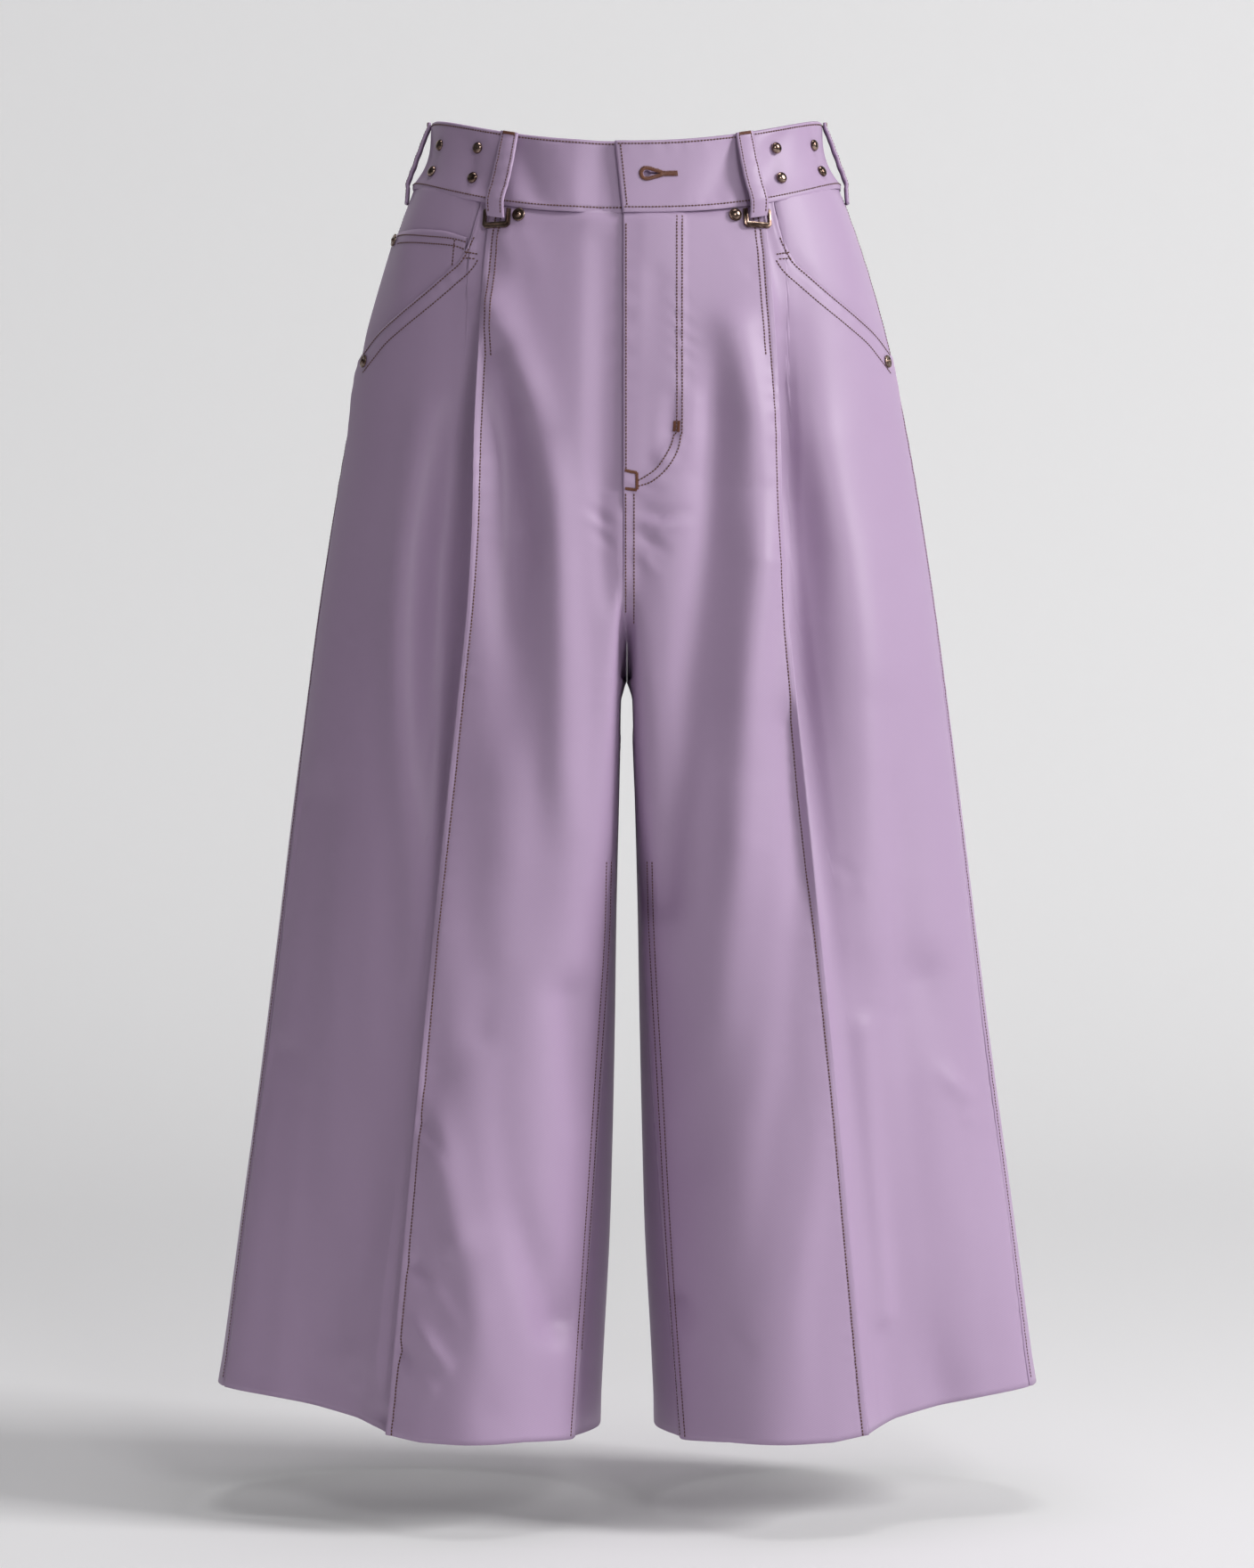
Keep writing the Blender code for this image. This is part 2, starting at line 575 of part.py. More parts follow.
# ---------------------------------------------------------------- waistband
def band_point(angle, part, lift=0.0):
    """Point of the band's outer face: angle from the side, part 0 at its foot and 1 at its top."""
    above = np.clip((part - WELT_PART) / (1 - WELT_PART), 0, 1)
    flare = (1 - above) ** 3
    half = BAND_TOP_HALF_WIDTH + (BAND_LOW_HALF_WIDTH - BAND_TOP_HALF_WIDTH) * flare
    flare = (1 - above) ** 2
    front = BAND_TOP_FRONT_DEPTH + (BAND_LOW_FRONT_DEPTH - BAND_TOP_FRONT_DEPTH) * flare
    back = BAND_TOP_BACK_DEPTH + (BAND_LOW_BACK_DEPTH - BAND_TOP_BACK_DEPTH) * flare
    depth = np.where(angle < 0, front, back)
    place = np.stack([half * np.cos(angle), depth * np.sin(angle)], -1)
    out = np.stack([np.cos(angle) / half, np.sin(angle) / depth], -1)
    out = out / np.linalg.norm(out, axis=-1)[..., None]
    z = band_low(angle) + (band_top(angle) - band_low(angle)) * part
    lift = np.asarray(lift)[..., None]
    return np.concatenate([place + out * lift, z[..., None]], -1), out


BAND_COLUMNS = 25
UNDERLAP_FADE = (0.034, 0.020)   # x where the underlap is level again, and over what stretch
WELT_PROFILE = (
    # part of the band's height, how far it stands out
    (0.0, WELT / 2), (0.045, WELT), (0.095, WELT / 6), (0.24, 0.0), (0.42, 0.0), (0.68, 0.0),
    (1.0, 0.0),
)


def band_grid(start_top, start_low, under):
    grid = []
    for part, lift in WELT_PROFILE:
        start_x = start_low + (start_top - start_low) * part
        first = -math.pi / 2 + start_x / BAND_TOP_HALF_WIDTH
        steps = np.linspace(0, 1, BAND_COLUMNS)
        last = math.pi / 2 - 2 * HALF_SEAM / BAND_TOP_HALF_WIDTH
        angles = first + (last - first) * steps
        level_x, stretch = UNDERLAP_FADE
        sink = under * ease((level_x - np.cos(angles) * BAND_TOP_HALF_WIDTH) / stretch)
        sink = np.where(angles < 0, sink, 0.0)
        swell = lift * (1 - ease(sink / 0.001))
        place, _ = band_point(angles, part, swell - sink)
        grid.append(place)
    return np.array(grid)[::-1]


left_band = band_grid(OVERLAP_TOP_X, OVERLAP_LOW_X, 0.0)
right_band = band_grid(-UNDERLAP_X, -UNDERLAP_X, UNDERLAP_DEPTH)
band_left = cloth("waistband_left", left_band, lilac("cloth_band_left"), False, BAND_WALL)
cloth("waistband_right", right_band, lilac("cloth_band_right"), True, BAND_WALL)

# Keyhole buttonhole through the overlap: an eye and a narrow slit.
eye_x = BUTTONHOLE_X[0] + BUTTONHOLE_EYE
bpy.ops.mesh.primitive_cylinder_add(vertices=10, radius=BUTTONHOLE_EYE, depth=CUTTER_DEPTH,
                                    location=(eye_x, CUTTER_Y, BUTTONHOLE_Z),
                                    rotation=(math.pi / 2, 0, 0))
eye = bpy.context.object
eye.name = "cut_eye"
slit_length = BUTTONHOLE_X[1] - BUTTONHOLE_X[0] - BUTTONHOLE_EYE
slit_x = BUTTONHOLE_X[1] - slit_length / 2
bpy.ops.mesh.primitive_cube_add(size=1.0, location=(slit_x, CUTTER_Y, BUTTONHOLE_Z))
slit = bpy.context.object
slit.name = "cut_slit"
slit.scale = (slit_length, CUTTER_DEPTH, BUTTONHOLE_SLIT)
for cutter in (eye, slit):
    for holder in list(cutter.users_collection):
        holder.objects.unlink(cutter)
    cutters.objects.link(cutter)
    cutter.hide_render = True
    cutter.display_type = "WIRE"
    cut = band_left.modifiers.new("buttonhole_" + cutter.name, "BOOLEAN")
    cut.operation = "DIFFERENCE"
    cut.solver = "EXACT"
    cut.object = cutter


# ---------------------------------------------------------------- belt loops
LOOP_PARTS = (0.80, 0.62, 0.45, 0.24, 0.06)   # parts of the band's height down a loop
STRAIGHT = (0.60, 0.86, 1.0, 1.0, 0.96)   # share of the stand-off there, front and back
SLANTED = (0.62, 0.88, 1.0, 0.92, 0.56)    # the side loops come back in towards their foot


def loop_grid(angle, stand, shares, foot_drop, foot_out):
    """Strap standing off the band: from its top edge, out, and back in below the waist seam.
    Its edges and middle each follow the band at their own angle."""
    outside = STRAP_WALL + SEAM_GAP + LOOP_SPACE
    path = [(1.0, outside, LOOP_RISE), (0.94, outside + SEAM_GAP, 0.0)]
    path += [(part, stand * share, 0.0) for part, share in zip(LOOP_PARTS, shares)]
    path.append((0.0, (foot_out + stand * shares[-1]) / 2, -foot_drop / 2))
    path.append((0.0, foot_out, -foot_drop))
    small = 0.01
    grid = []
    for part, out, rise in path:
        middle, _ = band_point(np.array(angle), part)
        beside, _ = band_point(np.array(angle + small), part)
        step = small * LOOP_WIDTH / 2 / np.linalg.norm(beside[:2] - middle[:2])
        row = []
        for offset in (-1, 0, 1):
            spot, _ = band_point(np.array(angle + offset * step), part, out)
            row.append(spot + np.array([0, 0, rise]))
        grid.append(row)
    return np.array(grid)


LOOPS = (
    # name, angle round the waist, stand-off, its shares, drop below the seam, foot, mirrored
    ("loop_front_left", -54.6, LOOP_STAND, STRAIGHT, 0.0083, 0.0066, False),
    ("loop_front_right", -54.6, LOOP_STAND, STRAIGHT, 0.0083, 0.0066, True),
    ("loop_side_left", -0.5, SIDE_LOOP_STAND, SLANTED, 0.0085, 0.0053, False),
    ("loop_side_right", -0.5, SIDE_LOOP_STAND, SLANTED, 0.0085, 0.0053, True),
    ("loop_back", 90.0, LOOP_STAND, STRAIGHT, 0.0105, 0.0056, False),
)
for name, degrees, stand, shares, drop, foot, mirrored in LOOPS:
    grid = loop_grid(math.radians(degrees), stand, shares, drop, foot)
    cloth(name, grid, lilac("cloth_" + name, 0.97), mirrored, STRAP_WALL)


# ---------------------------------------------------------------- metal trim
def frame_at(spot, normal):
    """Matrix that stands a piece on a spot, its z along the outward normal, its y upright."""
    out = Vector(normal).normalized()
    across = Vector((0, 0, 1)).cross(out).normalized()
    upright = out.cross(across)
    turn = Matrix((across, upright, out)).transposed().to_4x4()
    return Matrix.Translation(Vector(spot)) @ turn


def turned(name, profile, mat, place, steps=12):
    """A round piece turned from its profile of radius and height."""
    mesh = bpy.data.meshes.new(name)
    line = [(r, 0.0, h) for r, h in reversed(profile)]
    mesh.from_pydata(line, [(i, i + 1) for i in range(len(line) - 1)], [])
    obj = show(name, mesh, mat)
    screw = obj.modifiers.new("turn", "SCREW")
    screw.axis = "Z"
    screw.angle = 2 * math.pi
    screw.steps = steps
    screw.render_steps = steps
    screw.use_merge_vertices = True
    screw.merge_threshold = LEVEL * 10
    obj.matrix_world = place
    return obj


STUD_PROFILE = ((0, 0), (STUD_RADIUS, 0), (STUD_RADIUS * 0.96, 0.0007),
                (STUD_RADIUS * 0.70, 0.0018), (0, 0.0024))
RIVET_PROFILE = ((0, 0), (RIVET_RADIUS, 0), (RIVET_RADIUS, 0.0008), (RIVET_RADIUS * 0.72, 0.0013),
                 (RIVET_RADIUS * 0.42, 0.0010), (RIVET_RADIUS * 0.26, 0.0019), (0, 0.0021))
STUDS = (
    # angle from the side in degrees, part of the band's height
    (-20.7, 0.65), (-42.1, 0.71), (-20.6, 0.265), (-42.4, 0.295),
)


def seat(surface, a, b, step_a, step_b, lift):
    """Spot on a surface and its outward normal, the spot lifted along it."""
    here = np.array(surface(a, b))
    along = np.array(surface(a + step_a, b)) - np.array(surface(a - step_a, b))
    up = np.array(surface(a, b + step_b)) - np.array(surface(a, b - step_b))
    out = np.cross(along, up)
    out = out / np.linalg.norm(out)
    return here + out * lift, out


def panel_spot(place):
    def surface(u, z):
        point, _ = place(np.array([u]), np.array([z]))
        return (point[0][0], point[0][1], z)
    return surface


def band_spot(angle, part):
    return band_point(np.array(angle), part)[0]


def mirror_x(vector):
    return (-vector[0], vector[1], vector[2])


for side_name, mirrored in (("left", False), ("right", True)):
    for number, (angle, part) in enumerate(STUDS, 1):
        spot, out = seat(band_spot, math.radians(angle), part, 0.02, 0.05, STUD_LIFT)
        place = frame_at(mirror_x(spot), mirror_x(out)) if mirrored else frame_at(spot, out)
        name = "stud_%s_%d" % (side_name, number)
        turned(name, STUD_PROFILE, copper("copper_" + name), place)


RIVETS = (
    # name, surface, u, z, clearance, mirrored
    ("rivet_keeper_left", centre_left, 4.90, -0.0492, RIVET_LIFT, False),
    ("rivet_keeper_right", centre_right, 4.90, -0.0492, RIVET_LIFT, True),
    ("rivet_pocket_left", side_front(MOUTH_RISE["left"]), 4.55, -0.1345, RIVET_LIFT, False),
    ("rivet_pocket_right", side_front(MOUTH_RISE["right"]), 4.55, -0.1345, RIVET_LIFT, True),
    ("rivet_coin", coin, 4.55, -0.0562, RIVET_LIFT, True),
)
for name, surface, u, z, lift, mirrored in RIVETS:
    spot, out = seat(panel_spot(surface), u, z, 0.05, 0.003, lift)
    place = frame_at(mirror_x(spot), mirror_x(out)) if mirrored else frame_at(spot, out)
    turned(name, RIVET_PROFILE, copper("copper_" + name, 1.1), place)

# Keepers: a U of flat bar with a deep lower bar, its arms up either side of the belt loop's foot.
KEEPER_U = 5.64           # just inside the crease
for side_name, mirrored in (("left", False), ("right", True)):
    name = "keeper_" + side_name
    w = KEEPER_WIDTH / 2
    inner = w - KEEPER_ARM
    h = KEEPER_HEIGHT / 2
    bar = KEEPER_BAR - h
    outline = ((-w, -h), (w, -h), (w, h), (inner, h), (inner, bar), (-inner, bar), (-inner, h), (-w, h))
    mesh = bpy.data.meshes.new(name)
    shape = bmesh.new()
    face = shape.faces.new([shape.verts.new((x, y, 0.0)) for x, y in outline])
    lifted = bmesh.ops.extrude_face_region(shape, geom=[face])
    moved = [v for v in lifted["geom"] if isinstance(v, bmesh.types.BMVert)]
    bmesh.ops.translate(shape, verts=moved, vec=(0, 0, KEEPER_DEPTH))
    bmesh.ops.recalc_face_normals(shape, faces=shape.faces)
    shape.to_mesh(mesh)
    shape.free()
    obj = show(name, mesh, copper("copper_" + name, 1.2), smooth=False)
    spot, out = seat(panel_spot(centre_left), KEEPER_U, KEEPER_MIDDLE, 0.1, 0.006, 2 * SEAM_GAP)
    obj.matrix_world = frame_at(mirror_x(spot), mirror_x(out)) if mirrored else frame_at(spot, out)
    edge = obj.modifiers.new("rounded", "BEVEL")
    edge.width = KEEPER_BEVEL
    edge.segments = 1
    edge.limit_method = "ANGLE"
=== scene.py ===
# %% [markdown]
# # Wide-leg, high-waisted culottes
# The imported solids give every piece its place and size.  Here each cloth piece gets a thin shell on
# its solid's form, with the creases of the photograph, and then its sewing, its metal trim and a
# plain studio.  Metres, +Z up, the front faces -Y, the wearer's left is +X.

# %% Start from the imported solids
import math

import bpy
import numpy as np
from mathutils import Matrix, Vector
from mathutils.bvhtree import BVHTree


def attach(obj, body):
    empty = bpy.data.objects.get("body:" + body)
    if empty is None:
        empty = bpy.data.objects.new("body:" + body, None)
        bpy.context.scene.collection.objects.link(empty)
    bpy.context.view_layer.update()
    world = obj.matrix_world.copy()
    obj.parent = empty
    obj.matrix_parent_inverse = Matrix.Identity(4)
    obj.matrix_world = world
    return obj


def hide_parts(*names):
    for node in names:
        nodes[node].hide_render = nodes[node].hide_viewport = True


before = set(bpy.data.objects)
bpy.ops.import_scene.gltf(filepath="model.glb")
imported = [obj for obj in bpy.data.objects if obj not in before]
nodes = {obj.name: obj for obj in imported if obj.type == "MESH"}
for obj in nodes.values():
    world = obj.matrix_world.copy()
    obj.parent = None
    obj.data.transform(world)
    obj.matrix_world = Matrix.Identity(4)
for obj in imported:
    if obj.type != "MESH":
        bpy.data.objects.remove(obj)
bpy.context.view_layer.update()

# %% [markdown]
# ## The garment's own sizes
# These are the values that the solids were lofted from, so a shell built on them lies on its solid.
# Heights and plan points of the section tables are in millimetres, everything else in metres.

# %% Sizes of band, fly, fork and loops
SHELL = 0.0012            # wall of a panel's shell
BAND_SHELL = 0.0024
STRAP_SHELL = 0.0015
CLEFT_SEAM = 0.00005      # the shells meet along the fork

BAND_TOP_FRONT = -0.003
BAND_TOP_SIDE = 0.0215
BAND_TOP_BACK = 0.0225
BAND_LOW_FRONT = -0.049
BAND_LOW_SIDE = -0.0218
BAND_LOW_BACK = -0.0205
BAND_TOP_HALF_WIDTH = 0.1269
BAND_LOW_HALF_WIDTH = 0.1387
BAND_TOP_FRONT_DEPTH = 0.0862
BAND_LOW_FRONT_DEPTH = 0.0912
BAND_TOP_BACK_DEPTH = 0.0835
BAND_LOW_BACK_DEPTH = 0.0896
WELT_PART = 0.08
OVERLAP_TOP_X = -0.0078
OVERLAP_LOW_X = -0.0026
UNDERLAP_X = 0.030
UNDERLAP_DEPTH = 0.0033

FLY_EDGE_X = -0.0026
FLY_END = -0.2245
FLY_UNDER_X = 0.010
FLY_UNDER_DEPTH = 0.0019
SEAM_LEAVES = -0.285
SEAM_SETTLES = -0.322
FORK_START_FRONT = -0.278
FORK_START_BACK = -0.225
CROTCH = -0.340
CROTCH_Y = -0.005
NOTCH_HALF = 0.0032
NOTCH_DEPTH = 0.030
INNER_LEG_FLATNESS = 0.35
LEVEL = 1e-6
TINY = 1e-9

LOOP_WIDTH = 0.0122
LOOP_STAND = 0.0088
SIDE_LOOP_STAND = 0.0084
FACING_DEPTH = 0.024
COIN_DEPTH = 0.008
COIN_STAND = 0.0022       # the coin pocket's face from the facing's
PANEL_IN_BAND = 0.0022
MOUTH_RISE = {"left": 0.0021, "right": 0.0040}
MOUTH_RISE_REACH = 0.030
FACING_SINKS = (0.0008, 0.0010, 0.0018)

# %% Section tables (millimetres): height, then x and y of each named point of the plan
CENTRE_ANGLES = (-85.3, -79.0, -70.3, -61.9, -53.9)
CENTRE_ROWS = (
    # z,    corner,     inner,       middle,      outer,        crease
    (-110, 12, -98.0, 30, -97.6, 52, -95.0, 74, -91.0, 92.8, -85.5),
    (-180, 11, -104.0, 29, -104.2, 54, -102.3, 77, -98.5, 96.8, -93.0),
    (-250, 9, -107.5, 26, -108.7, 53, -107.8, 78, -104.2, 98.4, -98.3),
    (-300, 7.5, -107.5, 24, -110.6, 53, -110.8, 80, -107.2, 101.4, -101.0),
    (-340, 7.5, -104.0, 24, -111.0, 54, -112.2, 83, -108.8, 105.4, -102.8),
    (-420, 11, -95.0, 29, -108.0, 61, -112.3, 90, -109.4, 113.8, -103.4),
    (-560, 24, -82.0, 46, -100.5, 78, -109.8, 106, -107.3, 128.0, -102.0),
    (-700, 38, -87.0, 60, -103.8, 88, -111.6, 117, -106.8, 141.0, -99.0),
    (-840, 51, -91.5, 68, -105.0, 96, -114.2, 128, -107.2, 154.2, -94.8),
)
SIDE_ANGLES = (-53.7, -51.2, -47.2, -37.5, -21.0, -1.3)
SIDE_INSET = (2.1, 2.0, 1.5, 0.6, 0.0, 0.0)
SIDE_ROWS = (
    # z,    tuck,         in,          valley,      ridge,       outer,       side seam
    (-110, 92.2, -83.2, 97, -76.5, 107, -70.5, 128, -58.5, 150, -36.0, 166.0, -2),
    (-180, 96.1, -90.6, 101, -79.0, 112, -73.5, 135, -63.0, 162, -37.5, 180.6, -4),
    (-250, 97.7, -95.9, 103, -82.5, 114, -76.5, 141, -68.0, 170, -43.0, 192.0, -8),
    (-300, 100.7, -98.6, 106, -85.5, 118, -79.5, 146, -71.5, 176, -46.0, 199.0, -11),
    (-340, 104.7, -100.4, 110, -87.5, 122, -82.0, 150, -73.5, 181, -48.0, 204.0, -13),
    (-420, 113.1, -101.0, 119, -90.5, 131, -84.5, 158, -74.0, 190, -49.0, 213.5, -15),
    (-560, 127.3, -99.6, 134, -90.0, 145, -82.5, 172, -69.5, 205, -48.0, 230.2, -16),
    (-700, 140.3, -96.6, 148, -84.0, 158, -74.0, 186, -59.5, 221, -43.0, 248.3, -17),
    (-840, 153.5, -92.4, 162, -76.5, 172, -62.5, 201, -45.0, 236, -35.0, 265.0, -18),
)
BACK_ANGLES = (7.0, 25.0, 43.0, 59.5, 73.5, 84.5)
BACK_ROWS = (
    # z,    flank,     hip,       outer,     seat,      inner,     corner
    (-110, 166.3, 14, 157, 50, 130, 82, 91, 101, 50, 109, 15, 111),
    (-180, 181.0, 16, 174, 56, 147, 91, 104, 112, 57, 120, 16, 122),
    (-250, 193.0, 17, 186, 60, 160, 97, 114, 118, 62, 126, 14, 127),
    (-300, 200.5, 18, 193, 62, 167, 99, 119, 121, 64, 128, 11, 126),
    (-340, 206.0, 18, 198, 63, 172, 100, 123, 122, 66, 129, 10, 121),
    (-420, 217.0, 18, 209, 64, 181, 101, 130, 122, 73, 126, 18, 106),
    (-560, 234.3, 18, 226, 66, 194, 104, 142, 125, 84, 124, 36, 99),
    (-700, 253.6, 18, 245, 68, 210, 107, 155, 128, 96, 126, 46, 99),
    (-840, 271.8, 18, 262, 70, 225, 110, 168, 130, 107, 128, 55, 101),
)
WAIST_ROWS = ((-10, 133.5, 87.0, 87.4), (-50, 148.4, 91.3, 95.5))
INSEAM_ROWS = (
    # z,   inseam x, inseam y, inner wall x
    (-340, 0.05, -5, 2.6),
    (-349, 3.2, -9, 3.2),
    (-380, 4.2, -20, 4.0),
    (-420, 5.6, -30, 4.9),
    (-480, 8.8, -40, 6.2),
    (-560, 13.0, -47, 7.3),
    (-640, 18.5, -52, 9.2),
    (-700, 23.0, -56, 11.2),
    (-765, 28.5, -59, 15.0),
    (-840, 34.8, -62, 18.9),
)
POCKET_MOUTH = (
    (92.6, -34), (95.9, -53), (98.4, -61), (101.9, -69), (106.5, -76.5), (115, -83.5),
    (129, -94.5), (146, -106.5), (160.5, -117), (170.5, -127), (182, -139),
)
COIN_TOP = ((90, -64), (100, -62), (115, -56.3), (133, -52.5), (146, -51.5), (160, -51.5))
HEM = (
    (15, -821.5), (33, -819), (64, -815.8), (100, -816), (128, -815.5), (150, -812.5), (170, -807),
    (198, -802), (228, -797.5), (256, -794.5), (272, -793.5),
)

# %% [markdown]
# ## Curves through the sections
# Every column of a table runs on one smooth curve through its rows, and at each height a smooth
# curve runs through the plan points.  A panel is a stretch of that curve, waist to hem.


# %% Rows of the tables at any height
def ease(t):
    """0 to 1 with level ends."""
    t = np.clip(t, 0.0, 1.0)
    return t * t * (3 - 2 * t)


def smooth_rows(rows, z):
    """Every column of a table at the heights z."""
    table = np.array(rows, float)[::-1] / 1000.0
    level = table[:, 0]
    values = table[:, 1:]
    steps = np.diff(level)[:, None]
    slopes = np.diff(values, axis=0) / steps
    tangents = np.empty_like(values)
    tangents[1:-1] = (slopes[:-1] * steps[1:] + slopes[1:] * steps[:-1]) / (steps[:-1] + steps[1:])
    tangents[0] = slopes[0]
    tangents[-1] = slopes[-1]
    z = np.clip(z, level[0], level[-1])
    i = np.clip(np.searchsorted(level, z) - 1, 0, len(level) - 2)
    h = (level[i + 1] - level[i])[:, None]
    t = ((z - level[i]) / h[:, 0])[:, None]
    return ((2 * t**3 - 3 * t**2 + 1) * values[i] + (t**3 - 2 * t**2 + t) * h * tangents[i]
            + (3 * t**2 - 2 * t**3) * values[i + 1] + (t**3 - t**2) * h * tangents[i + 1])


def with_waist(rows, angles, insets=None):
    """The table with two rows on the waist's ellipses put before it."""
    insets = insets or [0.0] * len(angles)
    first = []
    for level, half_width, front, back in WAIST_ROWS:
        line = [level]
        for angle, inset in zip(angles, insets):
            turn = math.radians(angle)
            depth = front if angle < 0 else back
            line += [(half_width - inset) * math.cos(turn), (depth - inset) * math.sin(turn)]
        first.append(line)
    return first + [list(row) for row in rows]


CENTRE_TABLE = with_waist(CENTRE_ROWS, CENTRE_ANGLES)
SIDE_TABLE = with_waist(SIDE_ROWS, SIDE_ANGLES, SIDE_INSET)
BACK_TABLE = with_waist(BACK_ROWS, BACK_ANGLES)


# %% Centre seams, fork and inner legs
def fork_curve(z, start, surface_y):
    """Depth of a centre seam: level with the surface, then a quarter ellipse to the crotch."""
    drop = np.clip((start - z) / (start - CROTCH), 0.0, 1.0)
    return CROTCH_Y + (surface_y - CROTCH_Y) * np.sqrt(np.clip(1 - drop**2, 0, 1))


def seam_points(z, corner, start, edge_x):
    """Seam and two points between it and the corner: valley above the crotch, inner leg below."""
    inseam = smooth_rows(INSEAM_ROWS, z)
    above = z >= CROTCH - LEVEL
    seam_y = np.where(above, fork_curve(z, start, corner[:, 1]), inseam[:, 1])
    seam_x = np.where(above, edge_x, inseam[:, 0])
    notch = ease(np.abs(seam_y - corner[:, 1]) / NOTCH_DEPTH)
    points = [np.stack([seam_x, seam_y], 1)]
    for part in (1 / 3, 2 / 3):
        flat_x = seam_x + (corner[:, 0] - seam_x) * part
        behind = inseam[:, 2] + INNER_LEG_FLATNESS * part**2 * (corner[:, 0] - inseam[:, 2])
        round_share = 1 - math.sqrt(1 - part**2)
        before = inseam[:, 0] + round_share * (corner[:, 0] - inseam[:, 0])
        leg_x = np.where(corner[:, 1] < 0, before, behind)
        x = np.where(above, flat_x * (1 - notch) + NOTCH_HALF * notch, leg_x)
        points.append(np.stack([x, seam_y + (corner[:, 1] - seam_y) * part], 1))
    return points


def settled(z):
    """0 along the fly, 1 where the centre-front seam has come to the middle line."""
    return ease((SEAM_LEAVES - z) / (SEAM_LEAVES - SEAM_SETTLES))


def left_seam_x(z):
    return FLY_EDGE_X + (CLEFT_SEAM - FLY_EDGE_X) * settled(z)


def right_seam_x(z):
    """Right front, away from the middle: beneath the fly, then meeting the left."""
    return np.where(z > FLY_END, -FLY_UNDER_X, 2 * CLEFT_SEAM * settled(z) - left_seam_x(z))


def before_seam(z, seam, after, beyond):
    """Point that sets a panel's slope at its inner seam."""
    mirrored = np.stack([2 * seam[:, 0] - after[:, 0], after[:, 1]], 1)
    return np.where((z >= CROTCH - LEVEL)[:, None], mirrored, beyond)


def centre_knots(z, edge_x):
    """Plan points of the centre front from its inner seam to the crease."""
    table = smooth_rows(CENTRE_TABLE, z)
    seam = seam_points(z, table[:, 0:2], FORK_START_FRONT, edge_x)
    knots = [seam[0], (seam[1] + seam[2]) / 2] + [table[:, k:k + 2] for k in range(0, 10, 2)]
    back = smooth_rows(BACK_TABLE, z)[:, 10:12]
    behind = seam_points(z, back, FORK_START_BACK, np.full_like(z, CLEFT_SEAM))[1]
    end = 2 * knots[-1] - knots[-2]
    return np.stack([before_seam(z, knots[0], knots[1], behind)] + knots + [end], 1)


def round_knots(z):
    """Plan points from the pleat's tuck past the side seam and round the back."""
    side = smooth_rows(SIDE_TABLE, z)
    back = smooth_rows(BACK_TABLE, z)
    seam = seam_points(z, back[:, 10:12], FORK_START_BACK, np.full_like(z, CLEFT_SEAM))
    knots = [side[:, k:k + 2] for k in range(0, 12, 2)]
    knots += [back[:, k:k + 2] for k in range(0, 12, 2)]
    knots += [seam[2], seam[1], seam[0]]
    front = smooth_rows(CENTRE_TABLE, z)[:, 0:2]
    ahead = seam_points(z, front, FORK_START_FRONT, left_seam_x(z))
    end = before_seam(z, seam[0], seam[1], (ahead[1] + ahead[2]) / 2)
    return np.stack([2 * knots[0] - knots[1]] + knots + [end], 1)


def through(knots, u):
    """Smooth curve through the plan points: position and outward normal at the index u."""
    i = np.clip(np.floor(u).astype(int), 0, knots.shape[1] - 4) + 1
    row = np.arange(len(u))
    p0, p1, p2, p3 = (knots[row, i + k] for k in (-1, 0, 1, 2))
    spans = ((p0, p1), (p1, p2), (p2, p3))
    d = [np.sqrt(np.linalg.norm(b - a, axis=1) + TINY)[:, None] for a, b in spans]
    m1 = ((p1 - p0) / d[0] * d[1] + (p2 - p1) / d[1] * d[0]) / (d[0] + d[1]) * d[1]
    m2 = ((p2 - p1) / d[1] * d[2] + (p3 - p2) / d[2] * d[1]) / (d[1] + d[2]) * d[1]
    t = (u - (i - 1))[:, None]
    place = ((2 * t**3 - 3 * t**2 + 1) * p1 + (t**3 - 2 * t**2 + t) * m1
             + (3 * t**2 - 2 * t**3) * p2 + (t**3 - t**2) * m2)
    along = ((6 * t**2 - 6 * t) * p1 + (3 * t**2 - 4 * t + 1) * m1
             + (6 * t - 6 * t**2) * p2 + (3 * t**2 - 2 * t) * m2)
    along = along / (np.linalg.norm(along, axis=1)[:, None] + TINY)
    return place, np.stack([along[:, 1], -along[:, 0]], 1)


# %% Waistband, hem and pocket lines
def band_angle(x, y):
    """Angle round the waist of a plan point, from the side; the front is negative."""
    depth = np.where(y < 0, BAND_LOW_FRONT_DEPTH, BAND_LOW_BACK_DEPTH)
    return np.arctan2(y / depth, np.abs(x) / BAND_LOW_HALF_WIDTH)


def band_low(angle):
    c = np.abs(np.cos(angle))
    end = np.where(angle < 0, BAND_LOW_FRONT, BAND_LOW_BACK)
    return end + (BAND_LOW_SIDE - end) * c**2.5


def band_top(angle):
    c = np.abs(np.cos(angle))
    end = np.where(angle < 0, BAND_TOP_FRONT, BAND_TOP_BACK)
    return end + (BAND_TOP_SIDE - end) * c**2.2


def lookup(table, x):
    data = np.array(table, float) / 1000.0
    return np.interp(x, data[:, 0], data[:, 1])


def centre_left(u, z):
    return through(centre_knots(z, left_seam_x(z)), u)


def centre_right(u, z):
    place, out = through(centre_knots(z, right_seam_x(z)), u)
    fade = ease((z - (FLY_END - 0.020)) / 0.020) * ease((0.030 - place[:, 0]) / 0.022)
    return place - out * (FLY_UNDER_DEPTH * fade)[:, None], out


def around(u, z):
    return through(round_knots(z), u)


def waist_line(x, y):
    """The panels run up a little way inside the waistband."""
    return band_low(band_angle(x, y)) + PANEL_IN_BAND


def table_line(table, drop=0.0):
    """A line drawn in the front view, as the height that it gives a point of the surface."""
    return lambda x, y: lookup(table, x) - drop


